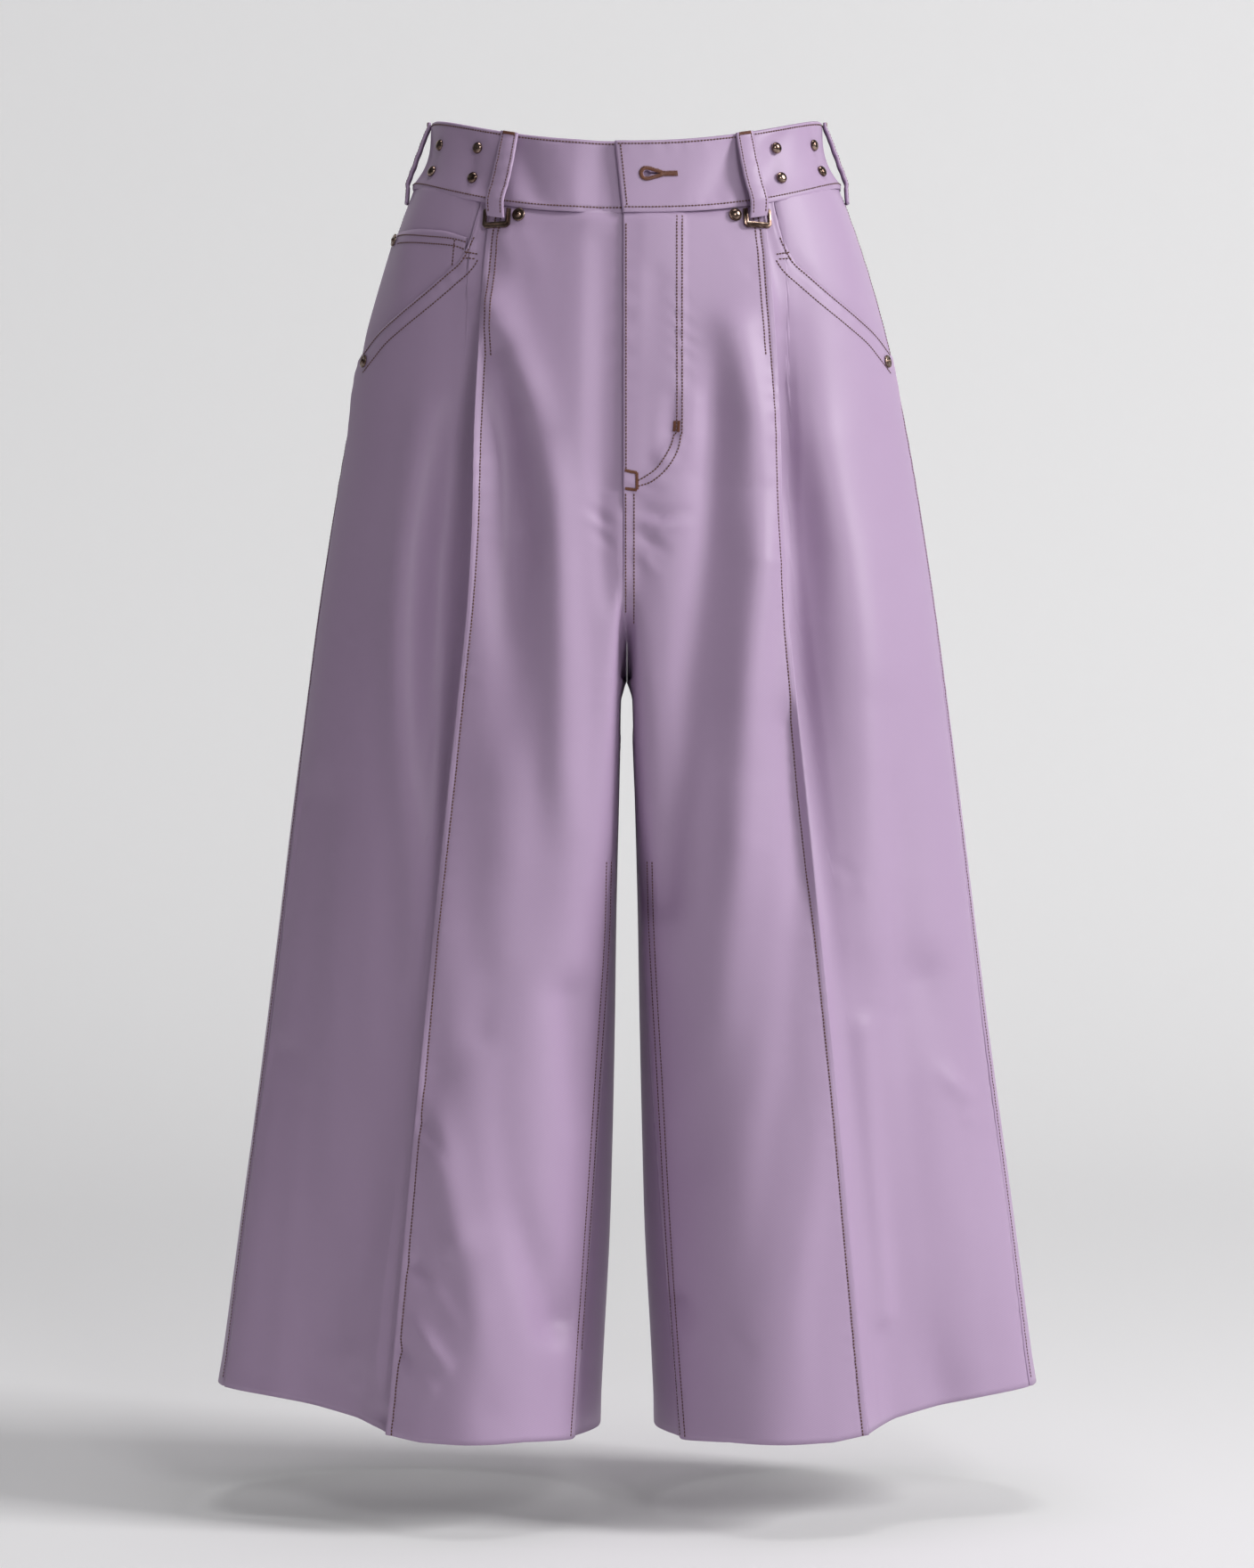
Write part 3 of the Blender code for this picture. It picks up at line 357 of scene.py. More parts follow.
hem_line = table_line(HEM)


def mouth_line(x, y):
    return np.minimum(lookup(POCKET_MOUTH, x), waist_line(x, y))


def segment_gap(x, z, a, b):
    """Share along the segment a to b nearest to each point x, z, and the distance to it."""
    step = b[:2] - a[:2]
    t = np.clip(((x - a[0]) * step[0] + (z - a[1]) * step[1]) / step.dot(step), 0, 1)
    return t, np.hypot(x - a[0] - t * step[0], z - a[1] - t * step[1])


def line_distance(x, z, line):
    """Distance of the points x, z from a drawn line."""
    return np.min([segment_gap(x, z, a, b)[1] for a, b in zip(line[:-1], line[1:])], axis=0)


def mouth_distance(x, z):
    """Distance below (+) or above (-) the pocket mouth, across the slant."""
    line = np.array(POCKET_MOUTH, float) / 1000.0
    best = line_distance(x, z, line)
    return np.where(z < np.interp(x, line[:, 0], line[:, 1]), best, -best)


def side_front(lift):
    """Side-front panel: its pocket mouth stands out from the facing by the lift."""
    def place(u, z):
        point, out = around(u, z)
        below = np.abs(mouth_distance(point[:, 0], z))
        rise = lift * np.exp(-(below / MOUTH_RISE_REACH) ** 2) * ease(u / 1.5)
        rise = rise * ease((-0.040 - z) / 0.030)
        return point + out * rise[:, None], out
    return place


def facing(u, z):
    """Hip facing: on the surface above the pocket mouth, sinking beneath the side front."""
    point, out = around(u, z)
    below = mouth_distance(point[:, 0], z)
    at_mouth, beneath, at_pleat = FACING_SINKS
    sink = at_mouth * ease((below + 0.008) / 0.012) + beneath * ease(below / 0.025)
    sink = sink + at_pleat * ease((2.0 - u) / 0.9)
    return point - out * sink[:, None], out


def coin(u, z):
    point, out = facing(u, z)
    return point + out * COIN_STAND, out


def band_point(angle, part, lift=0.0):
    """Point of the band's outer face: angle from the side, part 0 at its foot and 1 at its top."""
    above = np.clip((part - WELT_PART) / (1 - WELT_PART), 0, 1)
    flare = (1 - above) ** 3
    half = BAND_TOP_HALF_WIDTH + (BAND_LOW_HALF_WIDTH - BAND_TOP_HALF_WIDTH) * flare
    flare = (1 - above) ** 2
    front = BAND_TOP_FRONT_DEPTH + (BAND_LOW_FRONT_DEPTH - BAND_TOP_FRONT_DEPTH) * flare
    back = BAND_TOP_BACK_DEPTH + (BAND_LOW_BACK_DEPTH - BAND_TOP_BACK_DEPTH) * flare
    depth = np.where(angle < 0, front, back)
    place = np.stack([half * np.cos(angle), depth * np.sin(angle)], -1)
    out = np.stack([np.cos(angle) / half, np.sin(angle) / depth], -1)
    out = out / np.linalg.norm(out, axis=-1)[..., None]
    z = band_low(angle) + (band_top(angle) - band_low(angle)) * part
    lift = np.asarray(lift)[..., None]
    return np.concatenate([place + out * lift, z[..., None]], -1), out

# %% [markdown]
# ## Creases
# Soft troughs (-) and ridges (+), each a line in the front view with its own depth and half width.
# They fade at both ends.  x is measured away from the middle of the garment, in millimetres.

# %% Creases of the fronts, as the photograph shows them, and of the hidden backs
CREASES = {
    "front_centre_right": (
        # half width, points (x, z, depth there: below 0 a trough, above 0 a ridge)
        (12, ((86, -105, 4.3), (64, -157, 4.5), (52, -190, 1.4), (44, -226, 4.5), (41, -276, 5.5),
             (40, -323, 5.5), (40, -400, 5), (37, -450, 1), (38, -520, 0.4))),
        (13, ((84, -140, -5.3), (72, -202, -9), (66, -251, -9.7), (68, -300, -6.2),
             (68, -345, -2.8), (71, -400, 1.1), (73, -450, 1.8), (77, -510, 1.5))),
        (14, ((76, -470, -0.7), (79, -557, -1.5), (80, -608, -2.1), (72, -660, -2.5),
             (57, -704, -6.8), (42, -742, -8.4))),
        (12, ((110, -400, -0.4), (116, -500, 2.1), (119, -590, -1.6), (114, -640, 5.5),
             (104, -690, 4.6))),
        (9, ((18, -70, -1), (18, -140, -1.2), (19, -200, -1.5), (14, -250, -2.1), (9, -290, -2.2))),
        (11, ((100, -690, 1.2), (92, -735, 2.3), (86, -795, -1.2))),
        (14, ((34, -540, -5.9), (28, -630, -1.3), (31, -740, -4))),
        (5, ((132, -705, -3.3), (118, -722, 0.9), (106, -740, 0.7))),
        (5, ((131, -742, 1), (122, -755, 2.9), (113, -767, 2))),
        (5, ((142, -760, -3.8), (133, -770, -0.5), (122, -781, 0.9))),
        (4.5, ((127, -618, -2.6), (120, -626, -1.5), (111, -640, -0.4))),
        (8, ((66, -62, 0.8), (52, -90, 0.1), (46, -130, -0.1))),
        (7, ((78, -64, 1.5), (66, -90, -0.3), (58, -120, -0.1))),
        (11, ((82, -150, 0.8), (81, -200, -5.9), (80, -260, -7.4), (80, -330, -1.5),
             (82, -400, 0.9), (86, -480, 0.9), (92, -560, -2))),
        (4, ((24, -236, -0.5), (14, -242, -1.7), (5, -246, -0.8))),
        (4, ((19, -249, -0.4), (11, -255, -1.6), (4, -261, -0.8))),
        (4, ((22, -243, 0.3), (13, -249, 0.9), (5, -254, 0.4))),
    ),
    "front_centre_left": (
        (13, ((58, -128, -2), (57, -176, -7), (53, -218, -7), (50, -257, -6), (45, -296, -5),
             (39, -337, -5), (35, -380, -5), (27, -430, -5), (20, -480, -6))),
        (15, ((66, -125, 5.9), (78, -179, 6.8), (81, -223, 5.5), (81, -268, 10.9), (77, -309, 10.9),
             (74, -351, 10.9), (72, -400, 7.1), (70, -445, 7.9), (65, -493, 4), (59, -551, 2.6),
             (49, -594, -0.2), (40, -640, -1.6))),
        (6, ((85, -130, -0.6), (90, -168, -0.3), (92, -205, -0.5))),
        (12, ((101, -370, -5), (106, -415, -6.6), (108, -464, -6), (105, -500, -3),
             (103, -540, -1.6), (98, -585, -1.5), (90, -620, -1.9), (87, -652, -1.9),
             (83, -690, -1.1), (77, -720, -0.5))),
        (12, ((124, -590, 0.7), (116, -640, 1.5), (110, -690, 2.8), (106, -740, 2),
             (108, -795, 0.8))),
        (7, ((29, -731, -3.2), (41, -750, 1.6), (53, -767, 0.5))),
        (7, ((49, -726, -0.3), (61, -744, -1), (73, -760, -0.7))),
        (5, ((60, -68, 0.2), (68, -78, 0), (78, -84, -0.6))),
        (8, ((18, -90, -0.7), (18, -150, -0.1), (16, -205, -0.8))),
        (6, ((28, -168, -1.1), (27, -188, -2.7), (22, -204, 1))),
        (7, ((41, -170, 0.9), (40, -190, 0.8), (38, -212, -0.4))),
        (4, ((5, -236, -0.8), (20, -239, -1.7), (36, -237, -0.5))),
        (4, ((5, -244, 0.6), (20, -247, 1.3), (36, -245, 0.4))),
        (4, ((5, -250, -0.9), (14, -255, -1.6), (24, -262, -0.6))),
        (4, ((5, -262, 0.4), (12, -268, 1), (20, -277, 0.3))),
    ),
    "front_side_right": (
        (13, ((92, -125, -4), (99, -160, -9), (107, -195, -12), (112, -229, -12), (117, -262, -12),
             (118, -306, -12), (118, -351, -11), (117, -395, -9), (112, -440, -8), (112, -500, -5),
             (113, -560, -3))),
        (14, ((128, -175, 3), (133, -212, 4), (138, -257, 5), (142, -300, 5), (143, -337, 5),
             (140, -380, 5), (136, -420, 5), (132, -465, 4), (130, -520, 2))),
        (12, ((150, -260, 0.1), (153, -330, -1.2), (154, -400, -1), (152, -450, -0.7),
             (151, -500, -0.8), (153, -555, -0.4), (148, -610, 0.9), (149, -666, 2.2),
             (153, -715, 4.5), (156, -775, 3.2))),
        (13, ((175, -290, -0.9), (177, -379, -0.5), (174, -440, -1.2), (174, -500, -0.9),
             (176, -568, -1.2), (176, -638, -1.4), (170, -695, 2.2), (167, -765, 4.7))),
        (17, ((198, -420, -3.6), (203, -500, -3.6), (205, -560, -3.9), (205, -610, -4.8),
             (207, -666, -3.5), (212, -724, -2.8), (214, -795, -2))),
        (11, ((222, -580, -2.6), (229, -695, -2.1), (236, -785, -1.6))),
        (7, ((187, -767, 0.7), (178, -777, 1.4), (169, -787, 0.2))),
        (7, ((167, -785, 2.2), (159, -795, 1.2), (151, -805, -5.1))),
    ),
    "front_side_left": (
        (14, ((96, -125, -4), (98, -157, -11), (100, -195, -14), (105, -229, -14), (108, -262, -13),
             (107, -306, -13), (109, -351, -13), (111, -395, -11), (116, -440, -8), (119, -490, -5),
             (121, -540, -3), (122, -620, -1.5))),
        (20, ((128, -195, 2), (134, -229, 3), (144, -262, 4), (150, -306, 5), (153, -351, 5),
             (155, -395, 5), (152, -440, 4), (150, -500, 3))),
        (16, ((163, -360, -1.9), (174, -450, -3.8), (176, -500, -4), (176, -551, -5.2),
             (179, -591, -2.9), (182, -666, -1.3), (185, -710, -0.2), (186, -750, -1.3),
             (199, -790, -2.3))),
        (15, ((194, -530, -6.1), (206, -590, -1.9), (212, -625, -1.7), (218, -685, -0.1),
             (225, -760, -0.7))),
        (4.5, ((134, -458, -0.6), (140, -464, -0.5), (147, -471, 0.5))),
        (6, ((203, -590, 0.8), (210, -598, 2.5), (218, -605, 1.8))),
        (6, ((221, -620, 0.8), (228, -627, 0.1), (236, -635, -0.7))),
        (8, ((148, -560, 2.3), (153, -640, 3.1), (160, -740, 4.5))),
    ),
    "back_left": (
        (16, ((40, -210, -1.4), (58, -300, -4.4), (74, -400, -3.4), (84, -520, -1.4))),
        (15, ((84, -150, 1.4), (96, -300, 4.4), (104, -480, 3.4), (118, -700, 1.4))),
        (18, ((122, -260, -1.9), (132, -430, -6.1), (146, -640, -4.8), (158, -800, -1.9))),
        (14, ((160, -300, 1.5), (170, -460, 3.4), (186, -640, 1.9))),
        (15, ((198, -420, -1.8), (208, -600, -4.2), (222, -790, -2.3))),
        (9, ((14, -232, -1.3), (30, -250, -2.9), (48, -262, -1.6))),
        (8, ((10, -262, -1), (24, -282, -2.3), (40, -296, -1.3))),
        (11, ((62, -640, -1.4), (74, -720, -3.1), (80, -800, -1.7))),
    ),
    "back_right": (
        (15, ((44, -220, -1.5), (60, -320, -4.7), (72, -430, -3.7), (80, -560, -1.5))),
        (14, ((80, -140, 1.3), (90, -290, 4.1), (100, -470, 3.2), (112, -680, 1.3))),
        (19, ((116, -300, -1.8), (128, -460, -5.8), (140, -660, -4.6), (154, -805, -1.8))),
        (15, ((156, -260, 1.6), (168, -430, 3.6), (180, -660, 2))),
        (14, ((192, -380, -1.9), (204, -580, -4.4), (216, -780, -2.5))),
        (8, ((16, -236, -1.1), (34, -250, -2.6), (52, -258, -1.5))),
        (8, ((12, -268, -1), (26, -290, -2.3), (38, -306, -1.3))),
        (12, ((58, -660, -1.3), (68, -740, -2.9), (76, -805, -1.6))),
    ),
}


def crease_relief(rows, x, z):
    """Sum of a table's troughs and ridges at the points x, z (metres in, metres out)."""
    total = np.zeros_like(x)
    for half_width, line in rows:
        line = np.array(line, float) / 1000.0
        best = np.full(x.shape, 9.0)
        depth = np.zeros_like(x)
        for a, b in zip(line[:-1], line[1:]):
            t, gap = segment_gap(x, z, a, b)
            nearer = gap < best
            best = np.where(nearer, gap, best)
            depth = np.where(nearer, a[2] + t * (b[2] - a[2]), depth)
        total += depth * np.exp(-(best / (half_width / 1000.0)) ** 2)
    return total


def broad_relief(x, z, seed):
    """Slow unevenness that keeps long stretches of cloth from looking drawn with a ruler."""
    rng = np.random.default_rng(seed)
    total = np.zeros_like(x)
    for wavelength, height in ((0.150, 0.0007), (0.085, 0.00045), (0.048, 0.0002)):
        for _ in range(3):
            turn = rng.uniform(-0.5, 0.5)
            phase = rng.uniform(0, 2 * math.pi)
            run = x * math.cos(turn) + z * math.sin(turn) * 0.6
            total += height * np.sin(2 * math.pi * run / wavelength + phase)
    return total / 3


def pucker(run, away, seed, reach=0.006, height=0.00030, pitch=0.013):
    """Small waves that sewing pulls into the cloth: run along the seam, away from it."""
    rng = np.random.default_rng(seed)
    a, b, c = rng.uniform(0, 2 * math.pi, 3)
    turns = 2 * math.pi * run / pitch
    wave = np.sin(turns + a + 1.3 * np.sin(turns / 4.7 + b))
    strength = 0.55 + 0.45 * np.sin(turns / 9.1 + c)
    return height * wave * strength * np.exp(-(away / reach) ** 2)


print("creases:", {name: len(rows) for name, rows in CREASES.items()})

# %% [markdown]
# ## Materials
# Lilac twill with a smooth coated face: a broad soft sheen, a twill line too fine to count from a
# step away, and a duller, darker wrong side.  Brown topstitching thread.  Aged copper trim: dark
# tarnish broken at random by warm worn patches.


# %% Colours and node helper
def linear(code):
    """sRGB hex to linear red, green, blue, alpha."""
    parts = [int(code[i:i + 2], 16) / 255 for i in (1, 3, 5)]
    light = [c / 12.92 if c <= 0.04045 else ((c + 0.055) / 1.055) ** 2.4 for c in parts]
    return (*light, 1.0)


def add_node(mat, kind, links=(), **settings):
    """One node with its settings; links are (its input, from node, its output)."""
    node = mat.node_tree.nodes.new(kind)
    for name, value in settings.items():
        if hasattr(node, name):
            setattr(node, name, value)
        else:
            node.inputs[name.replace("_", " ")].default_value = value
    for socket, source, output in links:
        mat.node_tree.links.new(source.outputs[output], node.inputs[socket])
    return node


def new_material(name, colour, roughness, metallic=0.0, ior=1.5, sheen=0.0, coat=0.0):
    mat = bpy.data.materials.new(name)
    mat.use_nodes = True
    shader = mat.node_tree.nodes["Principled BSDF"]
    shader.inputs["Base Color"].default_value = linear(colour)
    shader.inputs["Roughness"].default_value = roughness
    shader.inputs["Metallic"].default_value = metallic
    shader.inputs["IOR"].default_value = ior
    shader.inputs["Sheen Weight"].default_value = sheen
    shader.inputs["Sheen Roughness"].default_value = 0.35
    shader.inputs["Coat Weight"].default_value = coat
    shader.inputs["Coat Roughness"].default_value = 0.45
    return mat, shader


# %% Lilac cloth, face and wrong side
TWILL_PITCH = 0.0009      # one twill line, in metres


def twill(name, colour, other, roughness, sheen, bump):
    """Cloth with faint tone changes and a diagonal twill line in its relief."""
    mat, shader = new_material(name, colour, roughness, sheen=sheen)
    shader.inputs["Sheen Tint"].default_value = linear(colour)
    shader.inputs["Specular IOR Level"].default_value = 0.40
    where = add_node(mat, "ShaderNodeTexCoord")
    tone = add_node(mat, "ShaderNodeTexNoise", [("Vector", where, "Object")], Scale=9.0, Detail=4.0)
    mix = add_node(mat, "ShaderNodeMixRGB", [("Fac", tone, "Fac")],
                   Color1=linear(colour), Color2=linear(other))
    mat.node_tree.links.new(mix.outputs["Color"], shader.inputs["Base Color"])
    turned = add_node(mat, "ShaderNodeMapping", [("Vector", where, "Object")])
    turned.inputs["Rotation"].default_value = (0, math.radians(63), 0)
    line = add_node(mat, "ShaderNodeTexWave", [("Vector", turned, "Vector")],
                    Scale=0.314 / TWILL_PITCH, Distortion=0.6, Detail=1.0)
    relief = add_node(mat, "ShaderNodeBump", [("Height", line, "Fac")],
                      Strength=bump, Distance=0.00006)
    grain = add_node(mat, "ShaderNodeTexNoise", [("Vector", where, "Object")],
                     Scale=420.0, Detail=3.0)
    grained = add_node(mat, "ShaderNodeBump",
                       [("Height", grain, "Fac"), ("Normal", relief, "Normal")],
                       Strength=0.12, Distance=0.0002)
    mat.node_tree.links.new(grained.outputs["Normal"], shader.inputs["Normal"])
    return mat


cloth_face = twill("lilac_twill_face", "#AE97B4", "#A890AE", 0.47, 0.18, 0.25)
cloth_strap = twill("lilac_twill_strap", "#AE97B4", "#A68EAC", 0.46, 0.18, 0.25)
cloth_inside = twill("lilac_twill_wrong_side", "#8F7A95", "#857089", 0.75, 0.05, 0.4)

# %% Thread and metal
thread, _ = new_material("brown_topstitch_thread", "#5C3A34", 0.55, sheen=0.3)
tack_thread, _ = new_material("brown_tack_thread", "#6E3F2A", 0.5, sheen=0.3)


def aged(name, dark, warm, roughness):
    """Aged metal: dark tarnish broken by warm worn patches."""
    mat, shader = new_material(name, warm, roughness, metallic=1.0)
    where = add_node(mat, "ShaderNodeTexCoord")
    wear = add_node(mat, "ShaderNodeTexNoise", [("Vector", where, "Object")],
                    Scale=260.0, Detail=3.0)
    ramp = add_node(mat, "ShaderNodeValToRGB", [("Fac", wear, "Fac")])
    ramp.color_ramp.elements[0].position = 0.40
    ramp.color_ramp.elements[0].color = linear(dark)
    ramp.color_ramp.elements[1].position = 0.66
    ramp.color_ramp.elements[1].color = linear(warm)
    mat.node_tree.links.new(ramp.outputs["Color"], shader.inputs["Base Color"])
    return mat


copper_dark = aged("aged_copper_studs", "#56443C", "#A68F82", 0.22)
copper_warm = aged("aged_copper_trim", "#5A463E", "#A08A7C", 0.26)

# %% [markdown]
# ## Shells
# A shell is a grid over the panel's surface, pushed out or in along the surface's own normal, then
# given the cloth's thickness inwards.  Columns crowd at the edges, where the cloth turns over.


# %% Grid over a panel
def settle(place, u, level_of, low, high):
    """Height at which a column of the surface meets a line given as a function of its point."""
    high = np.full(len(u), high)
    low = np.full(len(u), low)
    for _ in range(34):
        middle = (high + low) / 2
        point, _ = place(u, middle)
        over = middle > level_of(point[:, 0], point[:, 1])
        high = np.where(over, middle, high)
        low = np.where(over, low, middle)
    return (high + low) / 2


def panel_heights(top, start, foot, before, turns, after):
    """Even heights to the start of the fork, close ones round its curve, even ones to the hem."""
    curve = np.sin(np.linspace(0, math.pi / 2, turns))
    below = CROTCH - 0.001 * np.array([1, 3, 6, 10, 15, 21, 28])
    return np.concatenate([np.linspace(top, start, before, endpoint=False),
                           start + (CROTCH - start) * curve,
                           below, np.linspace(CROTCH - 0.032, foot, after)])


def points_at(place, columns, z):
    """Points and outward normals of a surface at its columns and heights."""
    u = np.broadcast_to(columns, z.shape)
    point, out = place(u.ravel(), z.ravel())
    points = np.column_stack([point, z.ravel()]).reshape(*z.shape, 3)
    return points, np.column_stack([out, np.zeros(z.size)]).reshape(*z.shape, 3)


WAIST_SPAN = (-0.30, 0.02)        # lowest and highest place of each line, to search between
HEM_SPAN = (-0.86, -0.70)
FACING_SPAN = (-0.19, 0.02)


def panel_grid(place, columns, heights, top, bottom):
    """Panel whose middle rows are level and whose end rows follow its lines."""
    upper = settle(place, columns, top, *WAIST_SPAN)
    lower = settle(place, columns, bottom, *HEM_SPAN)
    first, last = heights[0], heights[-1]
    near_top = np.clip((heights - SEAM_LEAVES) / (first - SEAM_LEAVES), 0, 1)[:, None]
    near_foot = np.clip((-0.45 - heights) / (-0.45 - last), 0, 1)[:, None]
    z = heights[:, None] + (upper - first) * near_top + (lower - last) * near_foot
    return points_at(place, columns, z)


def plain_grid(place, columns, parts, top, bottom, top_span, foot_span):
    """Sheet whose rows divide each column in the same parts between its two lines."""
    upper = settle(place, columns, top, *top_span)
    lower = settle(place, columns, bottom, *foot_span)
    return points_at(place, columns, upper + (lower - upper) * parts[:, None])


def runs(points):
    """Distance of every point from the first column and from the last, along its row."""
    steps = np.linalg.norm(np.diff(points, axis=1), axis=2)
    start = np.concatenate([np.zeros((len(points), 1)), np.cumsum(steps, axis=1)], axis=1)
    return start, start[:, -1:] - start


def crowded(start, end, count, near=0.022, few=5, power=2.0):
    """Even columns with a few more crowded at both ends."""
    parts = np.linspace(0, 1, few + 1)[1:] ** power * near
    even = np.linspace(start, end, count)
    return np.unique(np.round(np.concatenate([even, start + parts, end - parts]), 5))


def groove(away, depth=0.0007, half=0.0013):
    return -depth * np.exp(-(away / half) ** 2)


def rolled(away, radius=0.0013):
    """How far a folded edge turns in, as a quarter circle of this radius."""
    short = np.clip(radius - away, 0, radius)
    return -(radius - np.sqrt(np.clip(radius**2 - short**2, 0, None)))


HEM_STANDS, HEM_REACH = 0.0006, 0.012
WAIST_DRAWN, WAIST_REACH = 0.0022, 0.007
SIDE_GROOVE = (0.0009, 0.0014)    # depth and half width
INNER_GROOVE = (0.0006, 0.0012)


def from_row(points, row):
    """Distance of every point from its column's end: row 0 is the top, -1 the foot."""
    return np.linalg.norm(points - points[[row]], axis=2)


def hem_turn(points):
    """The hem's turned layers stand out a little."""
    return HEM_STANDS * np.exp(-(from_row(points, -1) / HEM_REACH) ** 2)


def waist_pull(points):
    """The panels draw in below the waist seam, where the band covers them."""
    return -WAIST_DRAWN * (1 - ease(from_row(points, 0) / WAIST_REACH))


def side_seam(z, away, mirrored):
    return groove(away, *SIDE_GROOVE) + pucker(z, away, 61 + mirrored, 0.007, 0.00018, 0.015)


# %% Grid to a closed piece of cloth
def linked(name, data):
    obj = bpy.data.objects.new(name, data)
    bpy.context.scene.collection.objects.link(obj)
    return obj


def applied(obj, kind, **settings):
    """Add a modifier with its settings and apply it."""
    mod = obj.modifiers.new("step", kind)
    for key, value in settings.items():
        setattr(mod, key, value)
    bpy.ops.object.select_all(action="DESELECT")
    obj.select_set(True)
    bpy.context.view_layer.objects.active = obj
    bpy.ops.object.modifier_apply(modifier=mod.name)


def grid_faces(points, mirrored):
    """Vertices and quads of a grid, facing outwards on either side of the garment."""
    rows, cols, _ = points.shape
    verts = points.reshape(-1, 3).copy()
    index = np.arange(rows * cols).reshape(rows, cols)
    quads = np.stack([index[:-1, :-1], index[1:, :-1], index[1:, 1:], index[:-1, 1:]], -1)
    quads = quads.reshape(-1, 4)
    if mirrored:
        verts[:, 0] *= -1
        quads = quads[:, ::-1]
    return verts.tolist(), quads.tolist()


def cloth_piece(node, verts, quads, wall, cloth):
    """Closed shell with its face outside; the inner wall gets the wrong side of the cloth."""
    mesh = bpy.data.meshes.new(node + "_cloth")
    mesh.from_pydata(verts, [], quads)
    mesh.materials.append(cloth)
    mesh.materials.append(cloth_inside)
    obj = linked(node + "_cloth", mesh)
    applied(obj, "SOLIDIFY", thickness=wall, offset=-1.0, use_even_offset=False,
            use_quality_normals=True, material_offset=1, material_offset_rim=0)
    obj.data.polygons.foreach_set("use_smooth", [True] * len(obj.data.polygons))
    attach(obj, "root")
    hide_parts(node)
    return obj


grids = {}


def sewn(node, points, outward, relief, mirrored, wall=SHELL, cloth=cloth_face, **away):
    """Push a grid out by its relief, keep it for the stitching and make its piece."""
    face = points + outward * relief[..., None]
    verts, quads = grid_faces(face, mirrored)
    grids[node] = dict(away, face=face, mirrored=mirrored, tree=BVHTree.FromPolygons(verts, quads))
    return cloth_piece(node, verts, quads, wall, cloth)


# %% Stitch template: one rounded lozenge of thread, 1 m long, scaled where it is laid
bpy.ops.object.select_all(action="DESELECT")
bpy.ops.mesh.primitive_uv_sphere_add(segments=6, ring_count=4, radius=0.5,
                                     rotation=(0, math.pi / 2, 0))
stitch_form = bpy.context.object
bpy.ops.object.transform_apply(rotation=True)
STITCH_VERTS = np.array([v.co[:] for v in stitch_form.data.vertices])
STITCH_FACES = [tuple(p.vertices) for p in stitch_form.data.polygons]
bpy.data.objects.remove(stitch_form, do_unlink=True)

STITCH_PITCH = 0.0021     # from one stitch to the next
STITCH_LONG = 0.0018
STITCH_WIDE = 0.00105
STITCH_HIGH = 0.00070


def resampled(line, pitch):
    """Points at even distances along a line; columns past the third are carried with them."""
    line = np.asarray(line, float)
    steps = np.linalg.norm(np.diff(line[:, :3], axis=0), axis=1)
    run = np.concatenate([[0], np.cumsum(steps)])
    count = max(int(round(run[-1] / pitch)), 1)
    at = (np.arange(count) + 0.5) * run[-1] / count
    return np.stack([np.interp(at, run, line[:, k]) for k in range(line.shape[1])], 1)


def laid(tree, points):
    """Points of a drawn line dropped onto a face from the front."""
    spots, normals = [], []
    for point in points:
        start = Vector((point[0], -0.4, point[1]))
        spot, normal, _, _ = tree.ray_cast(start, Vector((0, 1, 0)))
        if spot is not None:
            spots.append(np.array(spot))
            normals.append(np.array(normal if normal[1] < 0 else -normal))
    return np.array(spots), np.array(normals)


def stitch_mesh(name, rows, material, wide=STITCH_WIDE, high=STITCH_HIGH, long=STITCH_LONG,
                pitch=STITCH_PITCH, sink=0.25):
    """All stitches of a group as one mesh: each row is (points, normals) at close distances."""
    rng = np.random.default_rng(len(name) + 11)
    verts, faces = [], []
    for points, normals in rows:
        if len(points) < 2:
            continue
        spots = resampled(np.concatenate([points, normals], 1), pitch)
        ends = np.gradient(spots[:, :3], axis=0) if len(spots) > 1 else points[-1:] - points[:1]
        for spot, along in zip(spots, ends):
            out = spot[3:] / (np.linalg.norm(spot[3:]) + TINY)
            along = along - out * along.dot(out)
            along = along / (np.linalg.norm(along) + TINY)
            across = np.cross(out, along)
            skew = rng.normal(0, 0.05)
            along, across = along + across * skew, across - along * skew
            size = long * rng.uniform(0.94, 1.05)
            form = (STITCH_VERTS[:, :1] * size * along + STITCH_VERTS[:, 1:2] * wide * across
                    + STITCH_VERTS[:, 2:] * high * out)
            base = len(verts) * len(STITCH_VERTS)
            faces += [tuple(base + i for i in face) for face in STITCH_FACES]
            verts.append(form + spot[:3] + out * high * (0.5 - sink))
    mesh = bpy.data.meshes.new(name)
    mesh.from_pydata(np.concatenate(verts).tolist(), [], faces)
    mesh.materials.append(material)
    mesh.polygons.foreach_set("use_smooth", [True] * len(mesh.polygons))
    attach(linked(name, mesh), "root")
    print(name, len(verts), "stitches")


# %% [markdown]
# ## Centre fronts
# From the centre seam to the crease edge.  The fly's edge and the crease edge turn over; a soft
# plateau shows the layers sewn beneath them.

# %% Fly lines, as the topstitching draws them (x, z in millimetres)
FLY_INNER = ((31.2, -50.3), (31.1, -112), (31, -180.5), (29.1, -190), (26.3, -198.3),
             (19.6, -208.9), (13, -214.5), (6.4, -218.3))
FLY_OUTER = ((34.6, -50.3), (34.4, -112), (34.3, -180.5), (33.5, -190), (31.3, -199.5),
             (25.2, -210), (15.8, -218.4), (6.4, -221.7))


